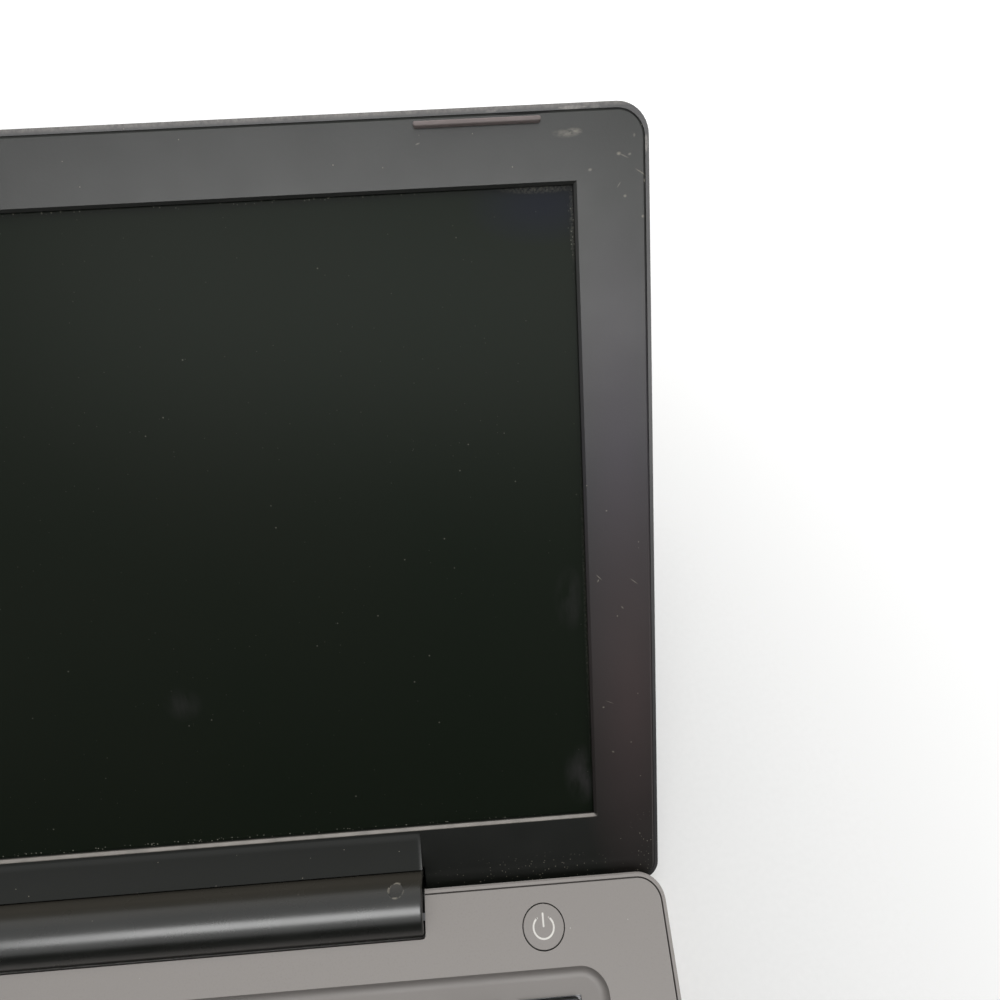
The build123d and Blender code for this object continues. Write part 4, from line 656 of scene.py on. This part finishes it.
def bevel_edges(piece, test, width, segments):
    """Rounds the edges that pass a test of their middle and their direction."""
    bpy.context.view_layer.objects.active = piece
    bpy.ops.object.mode_set(mode="EDIT")
    bpy.ops.mesh.select_mode(type="EDGE")
    bpy.ops.mesh.select_all(action="DESELECT")
    bpy.ops.object.mode_set(mode="OBJECT")
    mesh = piece.data
    for edge in mesh.edges:
        start, end = (mesh.vertices[i].co for i in edge.vertices)
        edge.select = test((start + end) / 2, (end - start).normalized())
    bpy.ops.object.mode_set(mode="EDIT")
    bpy.ops.mesh.bevel(offset=width, segments=segments, affect="EDGES")
    bpy.ops.object.mode_set(mode="OBJECT")


def rounded_pad(size, corner, edge, corner_steps=5, edge_steps=3):
    """A flat block with round corners and a soft upper edge, centred on the origin and standing on Z = 0."""
    piece = block(size, (0, 0, size[2] / 2))
    bevel_edges(piece, lambda middle, along: abs(along.z) > 0.9, corner, corner_steps)
    top = size[2] - 0.01 * edge
    bevel_edges(piece, lambda middle, along: middle.z > top, edge, edge_steps)
    return piece


def smooth(piece, angle_deg=40):
    """Smooth shading that keeps flat faces flat."""
    select_only(piece)
    bpy.ops.object.shade_smooth_by_angle(angle=radians(angle_deg))
    bpy.ops.object.modifier_add(type="WEIGHTED_NORMAL")
    piece.modifiers[-1].keep_sharp = True
    bpy.ops.object.modifier_apply(modifier=piece.modifiers[-1].name)


def copy_to(piece, place):
    """A copy with its own mesh, moved to a place."""
    twin = piece.copy()
    twin.data = piece.data.copy()
    bpy.context.scene.collection.objects.link(twin)
    twin.data.transform(place)
    return twin


def discard(piece):
    """Removes a pattern piece that has been copied."""
    bpy.data.objects.remove(piece)


def join(pieces):
    """Joins pieces into the first."""
    select_only(*pieces)
    if len(pieces) > 1:
        bpy.ops.object.join()
    return pieces[0]


def hand_over(piece, name, body, finish, replaces=()):
    """Names a finished piece, gives it its finish and lets it ride on a body of the frame."""
    piece.name = name
    piece.data.name = name
    piece.data.materials.clear()
    piece.data.materials.append(FINISHES[finish])
    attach(piece, body)
    if replaces:
        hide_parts(*replaces)


def body_of_node(node):
    """The name of the body that a CAD node rides on."""
    return NODES[node]["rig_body"]


SAME_POINT = 0.001 * MM  # vertices that agree to this are one point


def solid_boxes(node):
    """The separate solids of a CAD node as low and high corners, from back to front and left to right."""
    mesh = NODES[node].data
    home = {}

    def root(key):
        while home[key] != key:
            home[key] = home[home[key]]
            key = home[key]
        return key

    keys = [tuple(round(c / SAME_POINT) for c in v.co) for v in mesh.vertices]
    for key in keys:
        home.setdefault(key, key)
    for face in mesh.polygons:
        first, *rest = (root(keys[i]) for i in face.vertices)
        for other in rest:
            home[root(other)] = root(first)
    groups = {}
    for key, vertex in zip(keys, mesh.vertices):
        groups.setdefault(root(key), []).append(vertex.co)
    boxes = [low_and_high(points) for points in groups.values()]
    return sorted(boxes, key=lambda box: (-round(box[1].y / MM), box[0].x))


# Operators

# Nodes with a finish of their own instead of that of their material slot
OWN_FINISHES = {"hinge_cover": "barrel", "hinge_cover_plugs": "barrel"}


class LAPTOP_OT_finishes(Operator):
    """Gives every part of the frame the finish of its material slot"""

    bl_idname = "laptop.finishes"
    bl_label = "Apply finishes"

    def execute(self, context):
        FINISHES.update(make_finishes(context.scene))
        for part in frame["record"]["subparts"]:
            node = NODES[part["node"]]
            for material_slot in node.material_slots:
                material_slot.material = FINISHES[OWN_FINISHES.get(part["node"], part["material_slot"])]
        return {"FINISHED"}


# Legends by node, in the order of its keys; the words are those of any keyboard
LEGENDS = {
    "function_keys": ["esc"] + [f"f{i}" for i in range(1, 13)] + ["del"],
    "number_keys": list("`1234567890-="),
    "backspace_key": ["bksp"],
    "upper_letter_keys": ["tab"] + list("QWERTYUIOP[]\\"),
    "home_letter_keys": ["caps"] + list("ASDFGHJKL;'"),
    "enter_key": ["enter"],
    "left_shift_key": ["shift"],
    "lower_letter_keys": list("ZXCVBNM,./"),
    "right_shift_key": ["shift"],
    "bottom_row_keys": ["ctrl", "fn", "alt", "alt", "ctrl"],
    "space_bar": [""],
    "arrow_left_key": ["<"],
    "arrow_up_key": ["^"],
    "arrow_down_key": ["v"],
    "arrow_right_key": [">"],
}
WORD_SHARE = 0.62  # height of a word's letters beside that of a single letter
LEGEND_INSET = 2.4 * MM
SHALLOW_KEY = 10 * MM  # a key less deep than this has small legends, nearer its edge
SHALLOW_SHARE = 0.7  # of the inset from a shallow key's edge
CAPITAL_SHARE = 0.7  # height of a capital letter beside the font's size
INK_THICK = 0.012 * MM
HOME_BAR = (3.4 * MM, 0.55 * MM, 0.22 * MM)
HOME_BAR_CORNER, HOME_BAR_EDGE = 0.25 * MM, 0.1 * MM
HOME_BAR_UP = 2.2 * MM  # from a key's front edge to its bar's middle
HOME_BAR_SUNK = 0.03 * MM


def legend(text, low, high, letter_size):
    """One printed legend near a key's upper left corner, as a mesh."""
    shallow = high.y - low.y < SHALLOW_KEY
    size = letter_size * (1.0 if len(text) == 1 and not shallow else WORD_SHARE)
    down = LEGEND_INSET * (SHALLOW_SHARE if shallow else 1.0) + CAPITAL_SHARE * size
    words = start_with(bpy.ops.object.text_add, location=(low.x + LEGEND_INSET, high.y - down, high.z))
    words.data.body = text
    words.data.size = size
    words.data.extrude = INK_THICK
    words.data.resolution_u = 3
    bpy.ops.object.convert(target="MESH")
    settle(words)
    return words


class LAPTOP_OT_keycaps(Operator):
    """Models the keycaps with round corners and soft edges, and prints their legends"""

    bl_idname = "laptop.keycaps"
    bl_label = "Keycaps and legends"

    def execute(self, context):
        sizes = context.scene.laptop_pieces
        patterns = {}
        for node, texts in LEGENDS.items():
            boxes = solid_boxes(node)
            if len(boxes) != len(texts):
                raise RuntimeError(f"{node} has {len(boxes)} keys and {len(texts)} legends")
            caps, prints = [], []
            for (low, high), text in zip(boxes, texts):
                size = high - low
                key = tuple(round(c / MM, 2) for c in size)
                if key not in patterns:
                    patterns[key] = rounded_pad(size, sizes.key_corner, sizes.key_edge)
                    smooth(patterns[key])
                middle = middle_of(low, high, low.z)
                caps.append(copy_to(patterns[key], Matrix.Translation(middle)))
                if text:
                    prints.append(legend(text, low, high, sizes.letter_size))
                if text in ("F", "J"):
                    bar = rounded_pad(HOME_BAR, HOME_BAR_CORNER, HOME_BAR_EDGE, 3, 2)
                    caps.append(bar)
                    settle(bar, Matrix.Translation((middle.x, low.y + HOME_BAR_UP, high.z - HOME_BAR_SUNK)))
            body = body_of_node(node)
            hand_over(join(caps), node + "_caps", body, "key_plastic", [node])
            if prints:
                hand_over(join(prints), node + "_legends", body, "legend_ink")
        for pattern in patterns.values():
            discard(pattern)
        return {"FINISHED"}


SYMBOL_GAP = radians(72)  # of the power symbol's ring
SYMBOL_BAR = 3.1 * MM
SYMBOL_ROUND = 0.45  # of the line's width, at the bar's ends
SYMBOL_DROP = 0.12 * MM  # of the symbol's middle below the button's


class LAPTOP_OT_power_symbol(Operator):
    """Prints the power symbol on its button: an open ring and a bar"""

    bl_idname = "laptop.power_symbol"
    bl_label = "Power symbol"

    def execute(self, context):
        sizes = context.scene.laptop_pieces
        low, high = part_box("power_button")
        line = sizes.symbol_line
        middle = middle_of(low, high, high.z) - Vector((0, SYMBOL_DROP, 0))
        ring_middle = sizes.symbol_radius - line / 2
        ring = start_with(bpy.ops.mesh.primitive_plane_add, size=1, rotation=(pi / 2, 0, 0))
        ring.scale = (line, 2 * INK_THICK, 1)
        ring.location = (ring_middle, 0, 0)
        settle(ring)
        ring.data.transform(Matrix.Rotation((pi - SYMBOL_GAP) / 2, 4, "Z"))
        bpy.ops.object.mode_set(mode="EDIT")
        bpy.ops.mesh.select_all(action="SELECT")
        bpy.ops.mesh.spin(steps=56, angle=2 * pi - SYMBOL_GAP, center=(0, 0, 0), axis=(0, 0, 1))
        bpy.ops.mesh.select_all(action="SELECT")
        bpy.ops.mesh.remove_doubles(threshold=0.0001 * MM)
        bpy.ops.mesh.normals_make_consistent(inside=False)
        bpy.ops.object.mode_set(mode="OBJECT")
        tips = []
        for turn in ((pi + SYMBOL_GAP) / 2, (pi - SYMBOL_GAP) / 2):
            tip = start_with(
                bpy.ops.mesh.primitive_cylinder_add, vertices=20, radius=line / 2, depth=2 * INK_THICK,
                location=Matrix.Rotation(turn, 4, "Z") @ Vector((ring_middle, 0, 0)),
            )
            settle(tip)
            tips.append(tip)
        bar = block((line, SYMBOL_BAR, 2 * INK_THICK), (0, SYMBOL_BAR / 2, 0))
        bevel_edges(bar, lambda point, along: abs(along.z) > 0.9, line * SYMBOL_ROUND, 4)
        symbol = join([ring, bar, *tips])
        settle(symbol, Matrix.Translation(middle))
        hand_over(symbol, "power_symbol", "power_button", "legend_ink")
        return {"FINISHED"}


BUMPER_CORNER = 0.4 * MM
BUMPER_EDGE = 0.3 * MM


class LAPTOP_OT_bumpers(Operator):
    """Models the rubber bars near the lid's upper edge"""

    bl_idname = "laptop.bumpers"
    bl_label = "Lid bumpers"

    def execute(self, context):
        points = in_lid("lid_bumpers")
        bars = []
        for side in (-1, 1):
            low, high = low_and_high([p for p in points if p.x * side > 0])
            bar = rounded_pad(high - low, BUMPER_CORNER, BUMPER_EDGE, 5, 4)
            settle(bar, LID_PLACE @ Matrix.Translation(middle_of(low, high, low.z)))
            smooth(bar)
            bars.append(bar)
        hand_over(join(bars), "bumper_bars", "lid", "bumper_rubber", ["lid_bumpers"])
        return {"FINISHED"}


HEAD_HEIGHT = 1.1 * MM
HEAD_EDGE = 0.35 * MM
CROSS_SPAN, CROSS_WIDTH, CROSS_DEEP = 2.4 * MM, 0.5 * MM, 0.7 * MM  # the recess of a screw's head


class LAPTOP_OT_fasteners(Operator):
    """Models the cover screws' pan heads with their cross recesses"""

    bl_idname = "laptop.fasteners"
    bl_label = "Cover screws"

    def execute(self, context):
        boxes = solid_boxes("cover_screws")
        low, high = boxes[0]
        radius = (high.x - low.x) / 2
        head = start_with(bpy.ops.mesh.primitive_cylinder_add, vertices=32, radius=radius, depth=HEAD_HEIGHT)
        settle(head, Matrix.Translation((0, 0, HEAD_HEIGHT / 2)))
        bevel_edges(head, lambda middle, along: middle.z < 0.01 * MM, HEAD_EDGE, 4)
        for wide, deep in ((CROSS_SPAN, CROSS_WIDTH), (CROSS_WIDTH, CROSS_SPAN)):
            arm = block((wide, deep, 2 * CROSS_DEEP))
            cut = head.modifiers.new("recess", "BOOLEAN")
            cut.object = arm
            cut.operation = "DIFFERENCE"
            bpy.context.view_layer.objects.active = head
            bpy.ops.object.modifier_apply(modifier=cut.name)
            discard(arm)
        smooth(head, 30)
        heads = []
        for low, high in boxes:
            heads.append(copy_to(head, Matrix.Translation(middle_of(low, high, low.z))))
        discard(head)
        hand_over(join(heads), "cover_screw_heads", "base", "screw_steel", ["cover_screws"])
        return {"FINISHED"}


FOOT_EDGE = 0.4 * MM
FOOT_CORNER_SHARE = 0.49  # of a foot's width, so that its ends are round


class LAPTOP_OT_feet(Operator):
    """Models the four rubber feet with soft lower edges"""

    bl_idname = "laptop.feet"
    bl_label = "Rubber feet"

    def execute(self, context):
        feet = []
        for low, high in solid_boxes("rubber_feet"):
            size = high - low
            foot = rounded_pad(size, size.y * FOOT_CORNER_SHARE, FOOT_EDGE, 10, 4)
            settle(foot, Matrix.Translation(middle_of(low, high, high.z)) @ Matrix.Rotation(pi, 4, "X"))
            smooth(foot)
            feet.append(foot)
        hand_over(join(feet), "foot_pads", "base", "rubber", ["rubber_feet"])
        return {"FINISHED"}


# Sockets with a tongue: its width and height over the plastic, its middle above the socket's middle,
# then the count, pitch, width and length of the contacts on its lower face
TONGUES = {
    "usb_port_left": (11.2, 2.0, 1.0, 4, 2.3, 1.0, 7.0),
    "usb_port_right": (11.2, 2.0, 1.0, 4, 2.3, 1.0, 7.0),
    "video_port": (10.7, 1.8, 0.0, 9, 1.0, 0.5, 7.0),
}
TONGUE_BACK = 1.0 * MM  # from a socket's outer end to the front of its tongue
TONGUE_LENGTH = 9.5 * MM
TONGUE_EDGE = 0.3 * MM
CONTACT_BACK = 0.8 * MM  # from the front of a tongue to the front of its contacts
CONTACT_THICK = 0.2 * MM
CONTACT_EDGE = 0.05 * MM


class LAPTOP_OT_sockets(Operator):
    """Models the plastic tongues in the flat sockets and the plated contacts on their lower faces"""

    bl_idname = "laptop.sockets"
    bl_label = "Socket tongues"

    def execute(self, context):
        tongues, strips = [], []
        for node, (wide, high, up, count, pitch, width, length) in TONGUES.items():
            low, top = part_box(node)
            side = 1 if low.x > 0 else -1
            outer = top.x if side > 0 else low.x
            middle = (low + top) / 2 + Vector((0, 0, up * MM))
            middle.x = outer - side * (TONGUE_BACK + TONGUE_LENGTH / 2)
            tongue = block((TONGUE_LENGTH, wide * MM, high * MM), middle)
            # Just behind the tongue's front face
            front = middle.x + side * 0.49 * TONGUE_LENGTH
            bevel_edges(tongue, lambda point, along: (point.x - front) * side > 0, TONGUE_EDGE, 3)
            smooth(tongue)
            tongues.append(tongue)
            for i in range(count):
                place = (
                    middle.x + side * ((TONGUE_LENGTH - length * MM) / 2 - CONTACT_BACK),
                    middle.y + (i - (count - 1) / 2) * pitch * MM,
                    middle.z - high / 2 * MM,
                )
                strip = block((length * MM, width * MM, CONTACT_THICK), place)
                bevel_edges(strip, lambda point, along: abs(along.x) > 0.9, CONTACT_EDGE, 2)
                strips.append(strip)
        hand_over(join(tongues), "socket_tongues", "base", "key_plastic")
        hand_over(join(strips), "socket_contacts", "base", "gold")
        return {"FINISHED"}


RING_SHARE = 0.55  # of the window's radius
RING_WIRE = 0.09 * MM


class LAPTOP_OT_camera_ring(Operator):
    """Models the steel ring round the lens in the camera's window"""

    bl_idname = "laptop.camera_ring"
    bl_label = "Camera ring"

    def execute(self, context):
        low, high = low_and_high(in_lid("camera_window"))
        ring = start_with(
            bpy.ops.mesh.primitive_torus_add, major_radius=RING_SHARE * (high.x - low.x) / 2,
            minor_radius=RING_WIRE, major_segments=48, minor_segments=8,
        )
        settle(ring, LID_PLACE @ Matrix.Translation(middle_of(low, high, high.z)))
        smooth(ring, 60)
        hand_over(ring, "camera_ring", "lid", "screw_steel")
        return {"FINISHED"}


# The studio

# The camera stands where the photograph was taken from, its lens in millimetres and the rest in metres
CAMERA_PLACE = (0.10406, 0.01634, 0.2200)
CAMERA_RIGHT = (0.9973, -0.0736, -0.0007)
CAMERA_UP = (0.0650, 0.8763, 0.4773)
CAMERA_BACK = (-0.0345, -0.4760, 0.8788)
CAMERA_LENS = 27.185
SENSOR_WIDTH = 36.0
LIGHT_AIM = (0.05, 0.05, 0.05)
KEY_PLACE, KEY_SIZE = (0.45, 0.5, 1.25), (1.2, 1.0)
BAND_PLACE, BAND_SIZE = (0.0, -0.56, 1.03), (1.3, 0.46)
CARD_PLACE, CARD_SIZE = (0, -0.75, 0.17), (2.4, 0.34, 1)
FLOOR_SIZE = 12.0
GLOW_NEAR, GLOW_FAR = 0.15, 0.39  # the floor's glow for the camera sets in between these distances
FULL_NEAR, FULL_FAR, GLOW_LEAST = 0.6, 3.0, 0.4  # from the least strength it grows to 1 between these
UNDER_INSET = 8  # millimetres inside the base's outline, from where light passes through the floor
STUDIO_WHITE = linear("#FFFFFF")


def soft_light(name, place, size, power):
    """A rectangular soft light at a place, turned towards the object."""
    lamp = start_with(bpy.ops.object.light_add, type="AREA", location=place)
    lamp.name = name
    lamp.data.shape = "RECTANGLE"
    lamp.data.size, lamp.data.size_y = size
    lamp.data.energy = power
    lamp.rotation_euler = (Vector(LIGHT_AIM) - Vector(place)).to_track_quat("-Z", "Y").to_euler()
    lamp.visible_camera = False
    return lamp


def rays_and_seen(tree):
    """The kinds of ray, and a mask of those that the camera or a reflection sees by."""
    rays = add_node(tree, "ShaderNodeLightPath").node.outputs
    return rays, laid_over(rays["Is Camera Ray"], rays["Is Glossy Ray"], rays["Is Transmission Ray"])


def pale_floor():
    """Matt white floor board: the camera sees it as pale as the surroundings, and it keeps the shadow."""
    glowing = {"Emission Color": STUDIO_WHITE}
    material, shader, place = new_material("matt_white_board", linear("#F4F4F3"), 0.9, glowing)
    tree = material.node_tree
    rays, seen = rays_and_seen(tree)
    away = add_node(tree, "ShaderNodeVectorMath", {0: place}, "Value", operation="LENGTH")
    near_glow = {"Value": away, "From Min": GLOW_NEAR, "From Max": GLOW_FAR}
    far_glow = {"Value": away, "From Min": FULL_NEAR, "From Max": FULL_FAR, "To Min": GLOW_LEAST}
    glow = overlap(seen, *(add_node(tree, "ShaderNodeMapRange", inputs) for inputs in (near_glow, far_glow)))
    tone = coats(linear("#F1F1F0"), (cloudy(place, 1.5, 2), linear("#F6F6F5")))
    feed(shader, {"Base Color": tone, "Emission Strength": glow})
    # The camera sees through it from below, and light passes through it to the underside
    behind = add_node(tree, "ShaderNodeNewGeometry", output="Backfacing")
    middle = Matrix.Translation(middle_of(*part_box("bottom_cover"), 0))
    wide, deep = (half - UNDER_INSET for half in half_sizes("bottom_cover"))
    lights_base = laid_over(rays["Is Diffuse Ray"], rays["Is Shadow Ray"])
    passed = overlap(lights_base, rectangle(place, middle, wide, deep))
    gone = laid_over(overlap(behind, rays["Is Camera Ray"]), passed)
    clear = add_node(tree, "ShaderNodeBsdfTransparent")
    surface = add_node(tree, "ShaderNodeMixShader", {0: gone, 1: shader.outputs[0], 2: clear})
    feed(tree.nodes["Material Output"], {"Surface": surface})
    return material


def velvet_card():
    """Black velvet glued to board: next to no reflection, with a fine pile."""
    no_shine = {"Specular IOR Level": 0.0}
    material, shader, place = new_material("black_velvet_card", linear("#0A0A0A"), 1.0, no_shine)
    feed(shader, {"Base Color": coats(linear("#060606"), (cloudy(place, 2, 2), linear("#0D0D0D")))})
    return material


def pale_surroundings(ambient):
    """White surroundings as the camera and reflections see them, and a plain soft light on matt surfaces."""
    world = bpy.data.worlds.new("pale_surroundings")
    world.use_nodes = True
    tree = world.node_tree
    seen = rays_and_seen(tree)[1]
    strength = add_node(tree, "ShaderNodeMapRange", {"Value": seen, "To Min": ambient})
    feed(tree.nodes["Background"], {"Color": STUDIO_WHITE, "Strength": strength})
    return world


class LAPTOP_OT_studio(Operator):
    """Sets up the floor, the surroundings, the lights, the black card and the camera"""

    bl_idname = "laptop.studio"
    bl_label = "Studio"

    def execute(self, context):
        scene = context.scene
        studio = scene.laptop_studio
        floor = start_with(bpy.ops.mesh.primitive_plane_add, size=FLOOR_SIZE)
        floor.name = "floor"
        floor.data.materials.append(pale_floor())
        # A black card below the key light keeps the satin bezel's lower part and the screen dark
        card = start_with(
            bpy.ops.mesh.primitive_plane_add, size=1, rotation=(pi / 2, 0, 0), location=CARD_PLACE
        )
        card.name = "black_card"
        card.scale = CARD_SIZE
        card.data.materials.append(velvet_card())
        card.visible_camera = card.visible_diffuse = card.visible_shadow = False
        scene.world = pale_surroundings(studio.ambient)
        key = soft_light("key_light", KEY_PLACE, KEY_SIZE, studio.key_power)
        key.visible_glossy = False
        band = soft_light("band_light", BAND_PLACE, BAND_SIZE, studio.band_power)
        band.visible_diffuse = False
        lens = bpy.data.cameras.new("camera")
        lens.lens = CAMERA_LENS
        lens.sensor_width = SENSOR_WIDTH
        lens.clip_start = 0.01
        camera = bpy.data.objects.new("camera", lens)
        scene.collection.objects.link(camera)
        axes = Matrix((CAMERA_RIGHT, CAMERA_UP, CAMERA_BACK)).transposed()
        camera.matrix_world = Matrix.Translation(CAMERA_PLACE) @ axes.to_4x4()
        scene.camera = camera
        scene.view_settings.view_transform = "Standard"
        return {"FINISHED"}


class LAPTOP_PT_looks(Panel):
    """Lists the laptop's pieces and settings in the sidebar"""

    bl_idname = "LAPTOP_PT_looks"
    bl_label = "Laptop looks"
    bl_space_type = "VIEW_3D"
    bl_region_type = "UI"
    bl_category = "Laptop"

    def draw(self, context):
        layout = self.layout
        for group in SETTINGS:
            settings = getattr(context.scene, group)
            box = layout.box()
            for name in settings.__annotations__:
                box.prop(settings, name)
        for operator in OPERATORS:
            layout.operator(operator.bl_idname)


SETTINGS = {
    "laptop_finish": LaptopFinishSettings,
    "laptop_pieces": LaptopPieceSettings,
    "laptop_studio": LaptopStudioSettings,
}
OPERATORS = (
    LAPTOP_OT_finishes,
    LAPTOP_OT_keycaps,
    LAPTOP_OT_power_symbol,
    LAPTOP_OT_bumpers,
    LAPTOP_OT_fasteners,
    LAPTOP_OT_feet,
    LAPTOP_OT_sockets,
    LAPTOP_OT_camera_ring,
    LAPTOP_OT_studio,
)


def register():
    for name, settings in SETTINGS.items():
        bpy.utils.register_class(settings)
        setattr(bpy.types.Scene, name, PointerProperty(type=settings))
    for operator in OPERATORS:
        bpy.utils.register_class(operator)
    bpy.utils.register_class(LAPTOP_PT_looks)


def unregister():
    bpy.utils.unregister_class(LAPTOP_PT_looks)
    for operator in reversed(OPERATORS):
        bpy.utils.unregister_class(operator)
    for name, settings in SETTINGS.items():
        delattr(bpy.types.Scene, name)
        bpy.utils.unregister_class(settings)


def main():
    """Dresses the frame from its finishes to its studio."""
    register()
    bpy.ops.laptop.finishes()
    bpy.ops.laptop.keycaps()
    bpy.ops.laptop.power_symbol()
    bpy.ops.laptop.bumpers()
    bpy.ops.laptop.fasteners()
    bpy.ops.laptop.feet()
    bpy.ops.laptop.sockets()
    bpy.ops.laptop.camera_ring()
    bpy.ops.laptop.studio()
    bpy.context.view_layer.update()


if __name__ == "__main__":
    main()
